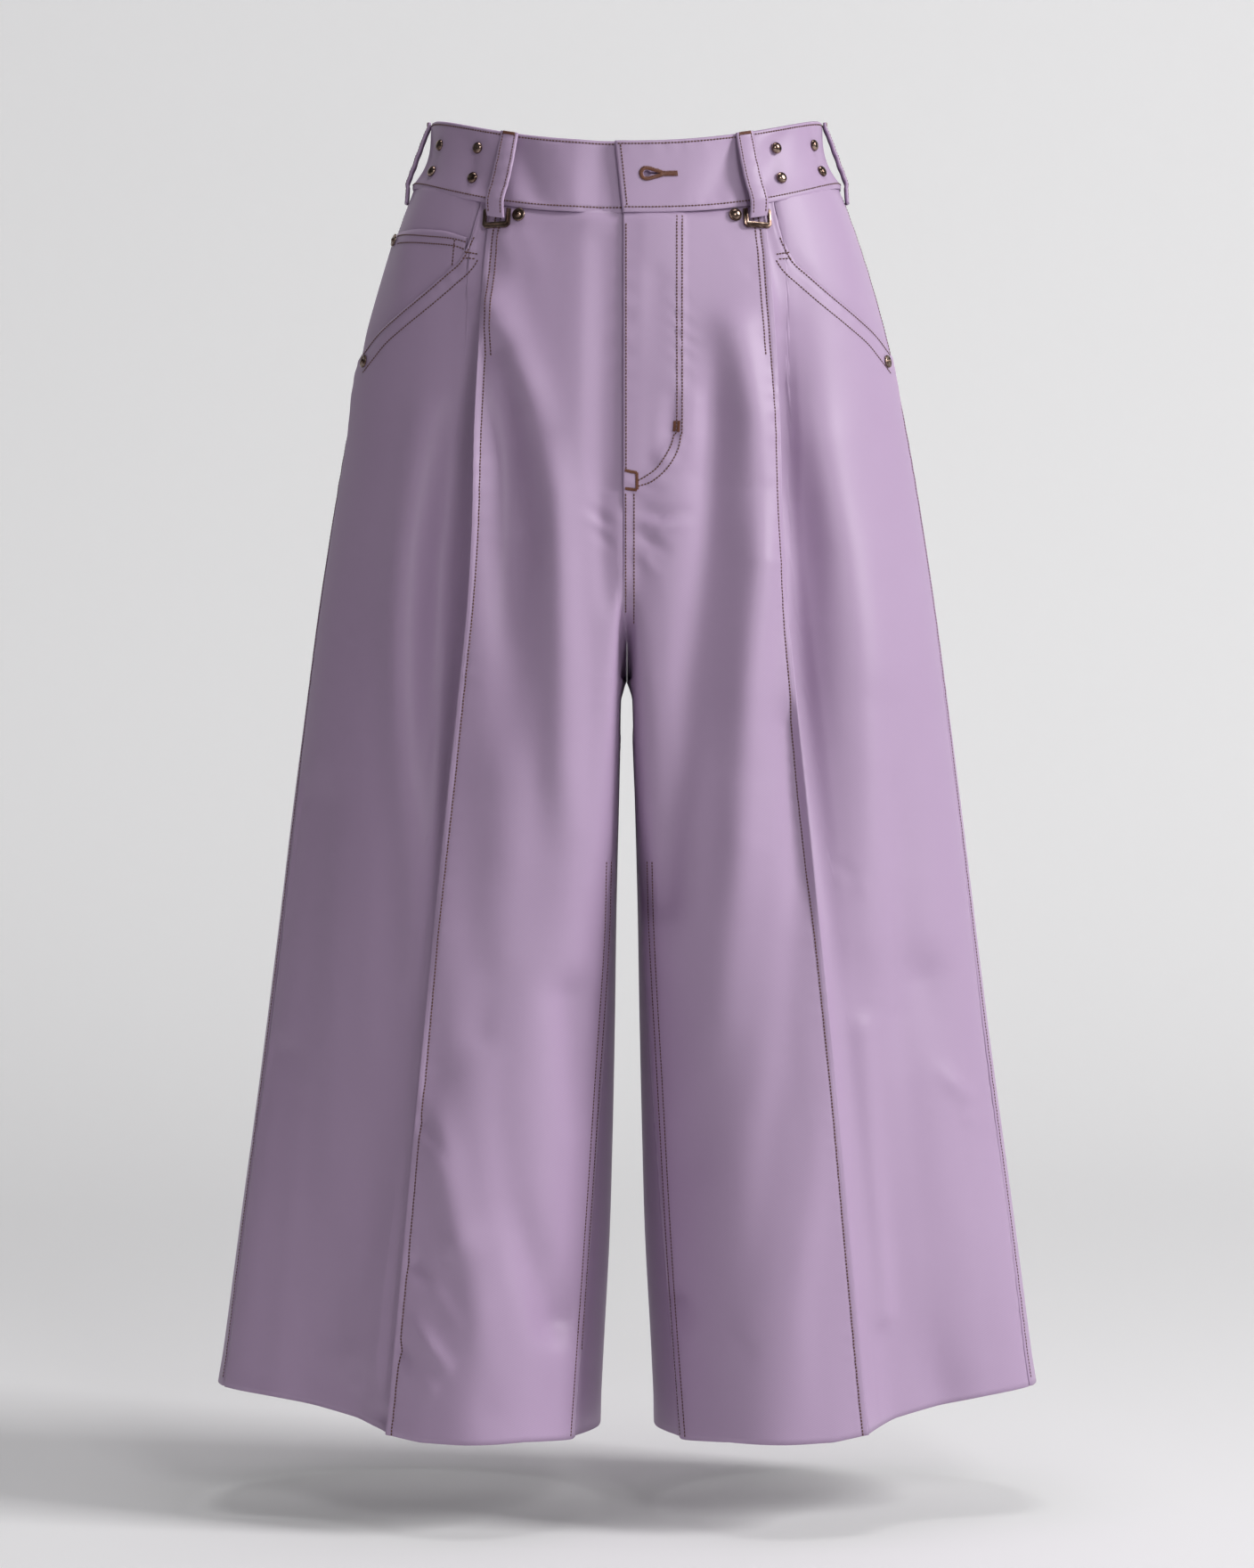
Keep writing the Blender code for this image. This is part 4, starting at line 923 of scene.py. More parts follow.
def smooth_line(points, count=60):
    """Smooth line through a few points (Catmull-Rom), in metres."""
    points = np.array(points, float) / 1000.0
    ends = np.concatenate([[2 * points[0] - points[1]], points, [2 * points[-1] - points[-2]]])
    u = np.linspace(0, len(points) - 1 - 1e-6, count)
    i = np.floor(u).astype(int)
    t = (u - i)[:, None]
    p0, p1, p2, p3 = (ends[i + k] for k in range(4))
    return 0.5 * (2 * p1 + (p2 - p0) * t + (2 * p0 - 5 * p1 + 4 * p2 - p3) * t**2
                  + (3 * p1 - p0 - 3 * p2 + p3) * t**3)


# %% Build both centre fronts
TUCK_AT = (0.09, 0.14, 0.20, 0.34, 0.45, 0.56, 0.66, 0.82)              # depth below the waist
TUCK_DEPTH = (0.0008, 0.0050, 0.0090, 0.0090, 0.0070, 0.0045, 0.0020, 0.0010)
CREASE_STITCH = 0.0052    # the crease's topstitching from its edge
SECOND_STITCH = 0.0088
SECOND_ROW_ENDS = -0.139   # the second row beside the crease shows down to here
centre_columns = crowded(0.004, 6, 74, near=0.30, few=6, power=1.8)
centre_heights = panel_heights(-0.0468, FORK_START_FRONT, -0.817, 92, 16, 118)
for name, place, mirrored in (("front_centre_left", centre_left, False),
                              ("front_centre_right", centre_right, True)):
    points, outward = panel_grid(place, centre_columns, centre_heights, waist_line, hem_line)
    x, z = points[..., 0], points[..., 2]
    from_seam, from_crease = runs(points)
    inner = ease((from_seam - 0.001) / 0.016)
    relief = crease_relief(CREASES[name], x, z) * inner * ease(from_crease / 0.006)
    relief += broad_relief(x, z, 3 if mirrored else 5) * inner
    relief += pucker(z, from_crease - CREASE_STITCH, 21 + mirrored)
    relief += groove(from_crease - CREASE_STITCH, 0.00035, 0.0009)
    relief += 0.0005 * (1 - ease((from_crease - 0.0035) / 0.003))
    relief += rolled(from_crease, 0.0013)
    tuck = np.interp(-z, TUCK_AT, TUCK_DEPTH)
    relief += -tuck * (1 - ease((from_crease - 0.0002) / 0.0009))
    relief += waist_pull(points)
    below_crotch = z < CROTCH
    relief += np.where(below_crotch, groove(from_seam, *INNER_GROOVE), 0.0)
    relief += np.where(below_crotch, pucker(z, from_seam - 0.003, 31 + mirrored, 0.005), 0.0)
    if not mirrored:
        fly = smooth_line(FLY_OUTER)
        past = line_distance(x, z, fly)
        fly_x = np.interp(-z, -fly[:, 1], fly[:, 0])
        raised = (x < fly_x) & (z > fly[-1, 1])
        relief += 0.0007 * np.where(raised, 1.0, 1 - ease(past / 0.004)) * ease((z + 0.232) / 0.012)
        relief += pucker(z + 0.6 * x, past - 0.001, 41, 0.007, 0.00028)
        edge = rolled(from_seam, 0.0011)
        relief += edge * ease((z + 0.290) / 0.030)
        relief += pucker(z, from_seam - 0.002, 43, 0.005, 0.0003, 0.017) * ease((z + 0.29) / 0.03)
    relief += hem_turn(points)
    piece = sewn(name, points, outward, relief, mirrored, crease=from_crease)
print("centre fronts:", [g["face"].shape for g in grids.values()])

# %% [markdown]
# ## Side fronts
# From the tuck behind the crease edge to the side seam; the pocket mouth is a turned, topstitched
# edge that stands a little open.

# %% Build both side fronts
side_columns = crowded(0.0, 4.994, 62, near=0.22, few=5, power=1.6)
side_parts = np.concatenate([np.linspace(0, 0.03, 9, endpoint=False), np.linspace(0.03, 1, 190)])
for name, mirrored in (("front_side_left", False), ("front_side_right", True)):
    place = side_front(MOUTH_RISE["right" if mirrored else "left"])
    points, outward = plain_grid(place, side_columns, side_parts, mouth_line, hem_line,
                                 WAIST_SPAN, HEM_SPAN)
    x, z = points[..., 0], points[..., 2]
    from_tuck, from_side = runs(points)
    from_mouth = np.abs(mouth_distance(x, z))
    shown = ease((from_tuck - 0.004) / 0.010) * ease(from_mouth / 0.020)
    relief = crease_relief(CREASES[name], x, z) * ease(from_side / 0.008) * ease(from_mouth / 0.020)
    relief = np.where(relief > 0, relief * shown, relief)
    relief += broad_relief(x, z, 7 if mirrored else 9) * shown
    relief += rolled(from_mouth, 0.0012) + groove(from_mouth - 0.0030, 0.0003, 0.0009)
    relief += pucker(x - 0.6 * z, from_mouth - 0.004, 51 + mirrored, 0.007, 0.00035, 0.011)
    relief += side_seam(z, from_side, mirrored) + hem_turn(points)
    piece = sewn(name, points, outward, relief, mirrored)
print("side fronts:", [grids[n]["face"].shape for n in ("front_side_left", "front_side_right")])

# %% [markdown]
# ## Hip facings and coin pocket
# They show inside the pocket mouths.

# %% Build them
for name, mirrored in (("hip_facing_left", False), ("hip_facing_right", True)):
    points, outward = plain_grid(facing, np.linspace(1.05, 4.994, 44), np.linspace(0, 1, 40),
                                 waist_line, table_line(POCKET_MOUTH, FACING_DEPTH),
                                 FACING_SPAN, FACING_SPAN)
    x, z = points[..., 0], points[..., 2]
    _, from_side = runs(points)
    relief = broad_relief(x, z, 15 + mirrored) * 0.5 + side_seam(z, from_side, mirrored)
    piece = sewn(name, points, outward, relief, mirrored)

points, outward = plain_grid(coin, np.linspace(1.85, 4.994, 40), np.linspace(0, 1, 26),
                             table_line(COIN_TOP), table_line(POCKET_MOUTH, COIN_DEPTH),
                             FACING_SPAN, FACING_SPAN)
x = points[..., 0]
from_left, from_side = runs(points)
from_top = from_row(points, 0)
relief = rolled(from_top, 0.0010) + rolled(from_left, 0.0008) + groove(from_side, *SIDE_GROOVE)
relief += groove(from_top - 0.0035, 0.0003, 0.0008)
relief += 0.0004 * np.sin(x * 190) * ease(from_top / 0.01)
piece = sewn("coin_pocket", points, outward, relief, True, wall=0.0010)
print("facings and coin pocket done")

# %% [markdown]
# ## Backs
# Not seen in the photograph: plain, with folds like those of the front and one centre-back seam.

# %% Build both backs
back_columns = crowded(5.006, 13.996, 82, near=0.20, few=4, power=1.6)
back_heights = panel_heights(-0.0190, FORK_START_BACK, -0.817, 52, 18, 84)
for name, mirrored in (("back_left", False), ("back_right", True)):
    points, outward = panel_grid(around, back_columns, back_heights, waist_line, hem_line)
    x, z = points[..., 0], points[..., 2]
    from_side, from_seam = runs(points)
    behind = ease(points[..., 1] / 0.03)
    inner = ease((from_seam - 0.001) / 0.016) * ease(from_side / 0.008)
    relief = crease_relief(CREASES[name], x, z) * inner * behind
    relief += broad_relief(x, z, 17 if mirrored else 19) * inner
    relief += side_seam(z, from_side, mirrored) + groove(from_seam, *INNER_GROOVE)
    relief += pucker(z, from_seam - 0.003, 71 + mirrored, 0.005)
    relief += waist_pull(points) + hem_turn(points)
    piece = sewn(name, points, outward, relief, mirrored, seam=from_seam, side=from_side)
print("backs:", grids["back_left"]["face"].shape)

# %% [markdown]
# ## Waistband and belt loops
# The band is a folded strip with a small rounded welt at its foot.  Its left half laps over the
# right and carries the keyhole buttonhole.  The loops stand off the band as straps.

# %% Waistband halves
WELT = 0.0003
BAND_TOP_STITCH = 0.0022  # the band's rows of stitches from its top and its foot
BAND_FOOT_STITCH = 0.0034
BAND_PARTS = np.unique(np.concatenate([np.linspace(0, 0.12, 9), np.linspace(0.12, 0.9, 12),
                                       np.linspace(0.9, 1, 8)]))


def band_shell(start_top, start_low, under):
    """Grid over a band half and its outward normals."""
    rows, outs = [], []
    for part in BAND_PARTS[::-1]:
        start_x = start_low + (start_top - start_low) * part
        first = -math.pi / 2 + start_x / BAND_TOP_HALF_WIDTH
        last = math.pi / 2 - CLEFT_SEAM / BAND_TOP_HALF_WIDTH
        steps = crowded(0, 1, 150, near=0.02, few=6, power=1.6)
        angles = first + (last - first) * steps
        sink = under * ease((0.034 - np.cos(angles) * BAND_TOP_HALF_WIDTH) / 0.020)
        sink = np.where(angles < 0, sink, 0.0)
        welt = WELT * np.sqrt(np.clip(1 - ((part - 0.045) / 0.052) ** 2, 0, 1))
        welt = welt * (1 - ease(sink / 0.001))
        place, out = band_point(angles, np.full(len(angles), part), welt - sink)
        rows.append(place)
        outs.append(np.concatenate([out, np.zeros((len(out), 1))], 1))
    return np.array(rows), np.array(outs)


BAND_CREASES = {
    # middle x away from the centre, half width, depth: the band dips beside its loops
    "waistband_left": ((0.058, 0.007, -0.0012), (0.073, 0.006, 0.0010), (0.088, 0.006, -0.0010),
                       (0.040, 0.010, 0.0007)),
    "waistband_right": ((0.060, 0.007, -0.0014), (0.074, 0.006, 0.0009), (0.092, 0.006, -0.0010),
                        (0.038, 0.010, 0.0008), (0.110, 0.008, 0.0006)),
}
for name, mirrored, start_top, start_low, under in (
        ("waistband_left", False, OVERLAP_TOP_X, OVERLAP_LOW_X, 0.0),
        ("waistband_right", True, -UNDERLAP_X, -UNDERLAP_X, UNDERLAP_DEPTH)):
    points, outward = band_shell(start_top, start_low, under)
    from_end, from_back = runs(points)
    from_top, from_foot = from_row(points, 0), from_row(points, -1)
    along = points[..., 0] + points[..., 1] * 0.7
    relief = rolled(from_top, 0.0014) + rolled(from_end, 0.0011)
    relief += groove(from_top - BAND_TOP_STITCH, 0.00025, 0.0009)
    relief += groove(from_foot - BAND_FOOT_STITCH, 0.00035, 0.0009)
    relief += pucker(from_end, from_top - 0.003, 81 + mirrored, 0.005, 0.00022, 0.012)
    relief += pucker(from_end, from_foot - BAND_FOOT_STITCH, 83 + mirrored, 0.005, 0.00025, 0.010)
    relief += groove(from_back, *INNER_GROOVE)
    relief += 0.0004 * np.sin(along * 55 + 1.1) * np.sin(from_end * 23 + mirrored)
    across = points[..., 0]
    inside = ease(from_top / 0.006) * ease(from_foot / 0.009)
    for middle, half, depth in BAND_CREASES[name]:
        slant = (points[..., 2] + 0.027) * 0.35
        dip = depth * np.exp(-((across - middle - slant) / half) ** 2)
        relief += inside * dip * (points[..., 1] < 0)
    piece = sewn(name, points, outward, relief, mirrored, wall=BAND_SHELL,
                 top=from_top, foot=from_foot, end=from_end)

# %% Keyhole buttonhole through the overlap
EYE_X, EYE_Z, EYE_RADIUS = 0.0124, -0.0241, 0.0021
SLIT_END = 0.0215
CUT_Y, CUT_DEEP = -0.088, 0.014   # the cutters stand across the band's front
band_left = bpy.data.objects["waistband_left_cloth"]
bpy.ops.mesh.primitive_cylinder_add(vertices=20, radius=EYE_RADIUS, depth=CUT_DEEP,
                                    location=(EYE_X, CUT_Y, EYE_Z), rotation=(math.pi / 2, 0, 0))
eye_cutter = bpy.context.object
bpy.ops.mesh.primitive_cube_add(size=1, location=((EYE_X + SLIT_END) / 2, CUT_Y, EYE_Z + 0.0002))
slit_cutter = bpy.context.object
slit_cutter.scale = (SLIT_END - EYE_X, CUT_DEEP, 0.0014)
for cutter in (eye_cutter, slit_cutter):
    applied(band_left, "BOOLEAN", operation="DIFFERENCE", solver="EXACT", object=cutter)
    bpy.data.objects.remove(cutter, do_unlink=True)
print("waistband:", len(band_left.data.polygons), "faces in its left half")

# %% Belt loops
LOOP_STITCH = 0.0021
LOOP_PATH = (0.80, 0.62, 0.45, 0.24, 0.06)
STRAIGHT = (0.60, 0.86, 1.0, 1.0, 0.96)
SLANTED = (0.62, 0.88, 1.0, 0.92, 0.56)


def loop_shell(angle, stand, shares, foot_drop, foot_out, count=46, across=13):
    """Strap off the band's top edge, out, and back in below the waist seam."""
    outside = 0.0023
    path = [(1.0, outside, 0.0003), (0.94, outside + 0.0004, 0.0)]
    path += [(part, stand * share, 0.0) for part, share in zip(LOOP_PATH, shares)]
    path.append((0.0, (foot_out + stand * shares[-1]) / 2, -foot_drop / 2))
    path.append((0.0, foot_out, -foot_drop))
    path = smooth_line(np.array(path) * 1000.0, count)
    columns = []
    for offset in np.linspace(-1, 1, across):
        line = []
        for part, out, rise in path:
            middle, _ = band_point(np.array(angle), part)
            beside, _ = band_point(np.array(angle + 0.01), part)
            step = 0.01 * LOOP_WIDTH / 2 / np.linalg.norm(beside[:2] - middle[:2])
            spot, _ = band_point(np.array(angle + offset * step), part, out)
            line.append(spot + np.array([0, 0, rise]))
        columns.append(line)
    return np.transpose(np.array(columns), (1, 0, 2))


def grid_normals(points):
    """Outward normals of a grid whose rows run down and whose columns run round."""
    down = np.gradient(points, axis=0)
    round_it = np.gradient(points, axis=1)
    out = np.cross(down, round_it)
    return out / (np.linalg.norm(out, axis=2)[..., None] + TINY)


LOOPS = (
    ("loop_front_left", -54.6, LOOP_STAND, STRAIGHT, 0.0083, 0.0066, False),
    ("loop_front_right", -54.6, LOOP_STAND, STRAIGHT, 0.0083, 0.0066, True),
    ("loop_side_left", -0.5, SIDE_LOOP_STAND, SLANTED, 0.0085, 0.0053, False),
    ("loop_side_right", -0.5, SIDE_LOOP_STAND, SLANTED, 0.0085, 0.0053, True),
    ("loop_back", 90.0, LOOP_STAND, STRAIGHT, 0.0105, 0.0056, False),
)
for name, degrees, stand, shares, drop, foot, mirrored in LOOPS:
    points = loop_shell(math.radians(degrees), stand, shares, drop, foot)
    for _ in range(14 if "front" in name else 0):          # the strap swings over its bend
        points[1:-1, :, 0] = (points[:-2, :, 0] + 2 * points[1:-1, :, 0] + points[2:, :, 0]) / 4
    out = grid_normals(points)
    from_left, from_right = runs(points)
    edge = np.minimum(from_left, from_right)
    run = from_row(points, 0)
    relief = rolled(edge, 0.0009) + groove(edge - LOOP_STITCH, 0.00022, 0.0007)
    relief += 0.00025 * np.exp(-((edge - 0.0061) / 0.0022) ** 2)
    relief += pucker(run, edge - 0.002, 91, 0.004, 0.00018, 0.008)
    piece = sewn(name, points, out, relief, mirrored, wall=STRAP_SHELL, cloth=cloth_strap,
                 left=from_left, right=from_right)
print("belt loops:", len(LOOPS))

# %% [markdown]
# ## Sewing
# Rows of topstitching are laid on the shells: lines drawn in the front view are dropped onto the
# cloth, lines that follow an edge are taken at a distance from it.


# %% Helpers that turn lines into stitch rows
def snapped(tree, line):
    """Points moved onto the nearest cloth, with its normals."""
    spots, normals = [], []
    for point in line:
        spot, normal, _, _ = tree.find_nearest(Vector(point))
        spots.append(spot[:])
        normals.append(normal[:])
    return np.array(spots), np.array(normals)


def flipped(line, mirrored):
    line = np.array(line, float)
    if mirrored:
        line[:, 0] *= -1
    return line


def edge_row(grid, key, distance, rows=None, across=False):
    """Stitches at a set distance from an edge of a grid, found row by row or column by column."""
    face, away = grid["face"], grid[key]
    if across:
        face, away = face.transpose(1, 0, 2), away.T
    line = []
    for r in (range(len(face)) if rows is None else rows):
        order = np.argsort(away[r])
        line.append([np.interp(distance, away[r][order], face[r][order, k]) for k in range(3)])
    return snapped(grid["tree"], flipped(line, grid["mirrored"]))


def drawn(tree, points, count=80):
    return laid(tree, smooth_line(points, count))


def offset_line(points, distance):
    """A drawn line moved sideways by a distance, in millimetres."""
    line = smooth_line(points, 90) * 1000.0
    along = np.gradient(line, axis=0)
    along /= np.linalg.norm(along, axis=1)[:, None]
    return line + np.stack([along[:, 1], -along[:, 0]], 1) * distance


# %% Topstitching
left_centre, right_centre = grids["front_centre_left"], grids["front_centre_right"]
rows = []
for grid in (left_centre, right_centre):
    short = [r for r in range(len(grid["face"])) if grid["face"][r, -1, 2] > SECOND_ROW_ENDS]
    rows.append(edge_row(grid, "crease", CREASE_STITCH))
    rows.append(edge_row(grid, "crease", SECOND_STITCH, short))
stitch_mesh("crease_topstitching", rows, thread)

tree = left_centre["tree"]
rows = [drawn(tree, line) for line in (
    FLY_INNER, FLY_OUTER,
    ((-0.6, -56), (-0.6, -130), (-0.6, -211)),
    ((-0.8, -226), (-0.8, -265), (-0.8, -300)),
    ((4.4, -226), (4.4, -265), (4.4, -307)))]
stitch_mesh("fly_topstitching", rows, thread)

rows = []
MOUTH_TACKS = (((103.5, -71.0), (98, -72.2), (94.0, -73.0)),
               ((103.9, -75.0), (99, -75.6), (95.5, -76.0)))
for name, sign in (("front_side_left", 1), ("front_side_right", -1)):
    tree = grids[name]["tree"]
    for inside in (2.2, 10.6):
        line = offset_line(POCKET_MOUTH[2:], inside)
        line = line[(line[:, 0] > 93.5) & (line[:, 0] < 171)]
        line[:, 0] *= sign
        rows.append(laid(tree, line / 1000.0))
    for points in MOUTH_TACKS:
        rows.append(drawn(tree, [(x * sign, z) for x, z in points], count=30))
stitch_mesh("pocket_mouth_topstitching", rows, thread)

rows = []
for grid, points in ((left_centre, ((14.3, -507), (19.4, -598), (25.6, -708), (33.5, -817))),
                     (right_centre, ((-11.5, -508), (-17, -590), (-22.2, -669), (-32.5, -817)))):
    away = 1 if points[0][0] > 0 else -1
    first = ((points[0][0] - away * 1.6, -455),) + points
    rows.append(drawn(grid["tree"], first, count=120))
    rows.append(drawn(grid["tree"], [(x + away * 3.0, z) for x, z in first], count=120))
stitch_mesh("inseam_topstitching", rows, thread)

rows = [drawn(grids["coin_pocket"]["tree"], points, count=40) for points in (
    ((-147.7, -53.7), (-127.1, -58.4), (-109.5, -62), (-100.2, -65.2)),
    ((-147.4, -59.5), (-127, -63.1), (-109.5, -66.6), (-102.6, -69.3)),
    ((-108.9, -62.5), (-109.6, -70), (-110.4, -79.4)))]
stitch_mesh("coin_pocket_topstitching", rows, thread)

rows = []
for name in ("waistband_left", "waistband_right"):
    grid = grids[name]
    shown = range(2, grid["face"].shape[1] - 1)
    if grid["mirrored"]:
        shown = [c for c in shown if grid["end"][0, c] > 0.022]
    rows.append(edge_row(grid, "top", BAND_TOP_STITCH, shown, across=True))
    rows.append(edge_row(grid, "foot", BAND_FOOT_STITCH, shown, across=True))
rows.append(edge_row(grids["waistband_left"], "end", 0.0034, range(4, len(BAND_PARTS) - 6)))
stitch_mesh("waistband_topstitching", rows, thread)

rows = [edge_row(grids[loop[0]], key, LOOP_STITCH, range(2, 42))
        for loop in LOOPS for key in ("left", "right")]
stitch_mesh("belt_loop_topstitching", rows, thread, wide=0.0009, high=0.0006)

rows = []
backs = (grids["back_left"], grids["back_right"])
for grid in backs:
    upright = [r for r in range(len(grid["face"])) if grid["face"][r, -1, 2] > -0.30]
    for away in (0.0022, 0.0072):
        rows.append(edge_row(grid, "seam", away, upright))
stitch_mesh("back_seam_topstitching", rows, thread)

rows = [edge_row(grid, "side", 0.0024, range(1, len(grid["face"]) - 1)) for grid in backs]
stitch_mesh("side_seam_topstitching", rows, thread, wide=0.0009, high=0.0006)


# %% Bar tacks and the buttonhole's satin stitch
ONE_EACH = 1.0            # a pitch past any satin row's length: each row is a single stitch


SATIN_PITCH = 0.00042
RING_PITCH = 0.00036


def satin(tree, line, pitch=SATIN_PITCH):
    """Close stitches laid across a line: short rows of two points each."""
    place, normals = snapped(tree, resampled(line, pitch))
    result = []
    for spot, normal, step in zip(place, normals, np.gradient(place, axis=0)):
        across = np.cross(normal, step)
        across = across / (np.linalg.norm(across) + TINY) * 0.001
        result.append((np.array([spot - across, spot + across]), np.array([normal, normal])))
    return result


def satin_drawn(tree, points, count=40, pitch=SATIN_PITCH):
    return satin(tree, drawn(tree, points, count)[0], pitch)


rows = []
for points in (((29.8, -180.6), (29.7, -184.0), (29.3, -187.2)),
               ((32.2, -180.6), (32.1, -184.0), (31.9, -187.6)),
               ((-1.4, -211.6), (2.0, -212.4), (6.2, -213.2)),
               ((-1.2, -222.8), (2.4, -223.4), (6.2, -223.9)),
               ((6.0, -213), (6.2, -218), (6.2, -223.6))):
    rows += satin_drawn(left_centre["tree"], points)
for loop in LOOPS:
    grid = grids[loop[0]]
    rows += satin(grid["tree"], flipped(grid["face"][2], grid["mirrored"])[2:-2])
stitch_mesh("bar_tacks", rows, tack_thread, wide=0.00050, high=0.0005, long=0.0024,
            pitch=ONE_EACH, sink=0.2)

RING = ((22.0, -23.2), (17.4, -21.9), (13.2, -20.7), (10.2, -21.1), (8.7, -24.1), (10.2, -27.1),
        (13.2, -27.4), (17.4, -26.2), (22.0, -24.9))
BAR = ((21.0, -24.1), (26, -24.0), (31.8, -23.8))
for name, points, count, long in (("buttonhole_ring", RING, 90, 0.0030),
                                  ("buttonhole_bar", BAR, 40, 0.0040)):
    rows = satin_drawn(grids["waistband_left"]["tree"], points, count, RING_PITCH)
    stitch_mesh(name, rows, tack_thread, wide=0.00046, high=0.00080, long=long,
                pitch=ONE_EACH, sink=0.1)

# %% [markdown]
# ## Metal trim
# Domed studs, rivets with a dished ring, and the keepers below the front loops, each modelled once.


# %% Round pieces: a disc at the size of the foot, drawn up and in ring by ring
def round_piece(name, profile, segments=28):
    bpy.ops.object.select_all(action="DESELECT")
    bpy.ops.mesh.primitive_circle_add(vertices=segments, radius=profile[0][0], fill_type="NGON")
    obj = bpy.context.object
    obj.name = name
    bpy.ops.object.mode_set(mode="EDIT")
    bpy.ops.mesh.select_all(action="SELECT")
    for (r0, h0), (r1, h1) in zip(profile[:-1], profile[1:]):
        bpy.ops.mesh.extrude_region_move(TRANSFORM_OT_translate={"value": (0, 0, h1 - h0)})
        bpy.ops.transform.resize(value=(r1 / r0, r1 / r0, 1), center_override=(0, 0, 0))
    bpy.ops.mesh.select_all(action="SELECT")
    bpy.ops.mesh.normals_make_consistent(inside=False)
    bpy.ops.object.mode_set(mode="OBJECT")
    bpy.ops.object.shade_smooth_by_angle(angle=math.radians(50))
    return obj


stud_form = round_piece("stud_form", (
    (0.00365, 0), (0.0037, 0.0005), (0.00358, 0.0009), (0.0032, 0.00150), (0.0026, 0.0020),
    (0.0017, 0.00235), (0.0008, 0.0025), (0.0001, 0.00255)))
dome_form = round_piece("dome_form", (
    (0.0041, 0), (0.0042, 0.0004), (0.0040, 0.0008), (0.0034, 0.00085), (0.0033, 0.0014),
    (0.0027, 0.0020), (0.0018, 0.0024), (0.0008, 0.0026), (0.0001, 0.00265)))
rivet_form = round_piece("rivet_form", (
    (0.0041, 0), (0.0042, 0.0004), (0.00405, 0.00085), (0.0036, 0.00110), (0.0030, 0.00105),
    (0.0024, 0.00085), (0.0018, 0.00080), (0.0014, 0.00100), (0.0012, 0.00150), (0.0008, 0.00190),
    (0.0001, 0.0021)))


# %% Keeper: a U of flat bar with a raised ridge round its opening
def solid_box(size, middle):
    bpy.ops.object.select_all(action="DESELECT")
    bpy.ops.mesh.primitive_cube_add(size=1, location=middle)
    obj = bpy.context.object
    obj.scale = size
    bpy.ops.object.transform_apply(location=True, rotation=True, scale=True)
    return obj


KEEPER_ARM = 0.0060       # how far the arms reach above the keeper's middle


def bent_bar(wide, low, inner, inner_low, deep, corner, rounding):
    """U of flat bar: a plate with cut lower corners and an open upper middle, its edges rounded."""
    bar = solid_box((wide, KEEPER_ARM + low, deep), (0, (KEEPER_ARM - low) / 2, deep / 2))
    bpy.ops.object.mode_set(mode="EDIT")
    bpy.ops.mesh.select_mode(type="EDGE")
    bpy.ops.mesh.select_all(action="DESELECT")
    bpy.ops.object.mode_set(mode="OBJECT")
    for edge in bar.data.edges:
        one, two = (bar.data.vertices[i].co for i in edge.vertices)
        edge.select = one.y < 0 and (one - two).xy.length < 0.0001
    bpy.ops.object.mode_set(mode="EDIT")
    bpy.ops.mesh.bevel(offset=corner, segments=1, affect="EDGES")
    bpy.ops.object.mode_set(mode="OBJECT")
    middle = solid_box((inner, 0.0140, 0.0080), (0, 0.0070 - inner_low, deep / 2))
    applied(bar, "BOOLEAN", operation="DIFFERENCE", solver="EXACT", object=middle)
    bpy.data.objects.remove(middle, do_unlink=True)
    applied(bar, "BEVEL", width=rounding, segments=2, limit_method="ANGLE")
    return bar


keeper_form = bent_bar(0.0188, 0.0062, 0.0142, 0.0026, 0.0018, 0.0020, 0.0004)
ridge_form = bent_bar(0.0164, 0.0044, 0.0138, 0.0028, 0.0029, 0.0012, 0.0003)
bpy.ops.object.select_all(action="DESELECT")
keeper_form.select_set(True)
bpy.context.view_layer.objects.active = keeper_form
ridge_form.select_set(True)
bpy.ops.object.join()
bpy.ops.object.shade_smooth_by_angle(angle=math.radians(35))
keeper_form.name = "keeper_form"


# %% Set each on its solid's place
def set_metal(form, node_name, material):
    """A copy of the form with its own mesh, brought to its node's place and turned flat there."""
    mesh = form.data.copy()
    node = nodes[node_name]
    verts = np.array([node.matrix_world @ v.co for v in node.data.vertices])
    middle = (verts.max(0) + verts.min(0)) / 2
    flat = np.linalg.svd(verts - verts.mean(0))[2][2]
    if flat[1] > 0:
        flat = -flat
    out = Vector(flat)
    foot = verts[np.argsort(verts @ flat)[:len(verts) // 3]]
    height = (foot @ flat).min()
    base = Vector(middle + flat * (height - middle.dot(flat)))
    across = Vector((0, 0, 1)).cross(out).normalized()
    turn = Matrix((across, out.cross(across), out)).transposed().to_4x4()
    mesh.transform(Matrix.Translation(base) @ turn)
    mesh.materials.clear()
    mesh.materials.append(material)
    obj = linked(node_name + "_metal", mesh)
    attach(obj, "root")
    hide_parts(node_name)


for node_name in list(nodes):
    if node_name.startswith("stud_"):
        set_metal(stud_form, node_name, copper_dark)
    elif node_name == "rivet_keeper_left":
        set_metal(dome_form, node_name, copper_dark)
    elif node_name.startswith("rivet_"):
        set_metal(rivet_form, node_name, copper_warm)
    elif node_name.startswith("keeper_"):
        set_metal(keeper_form, node_name, copper_warm)
for form in (stud_form, dome_form, rivet_form, keeper_form):
    bpy.data.objects.remove(form, do_unlink=True)

# %% [markdown]
# ## Studio
# A pale sweep, a large soft key light from the viewer's right, a soft light from above and a pale
# surround.  The hems hang just above the floor.

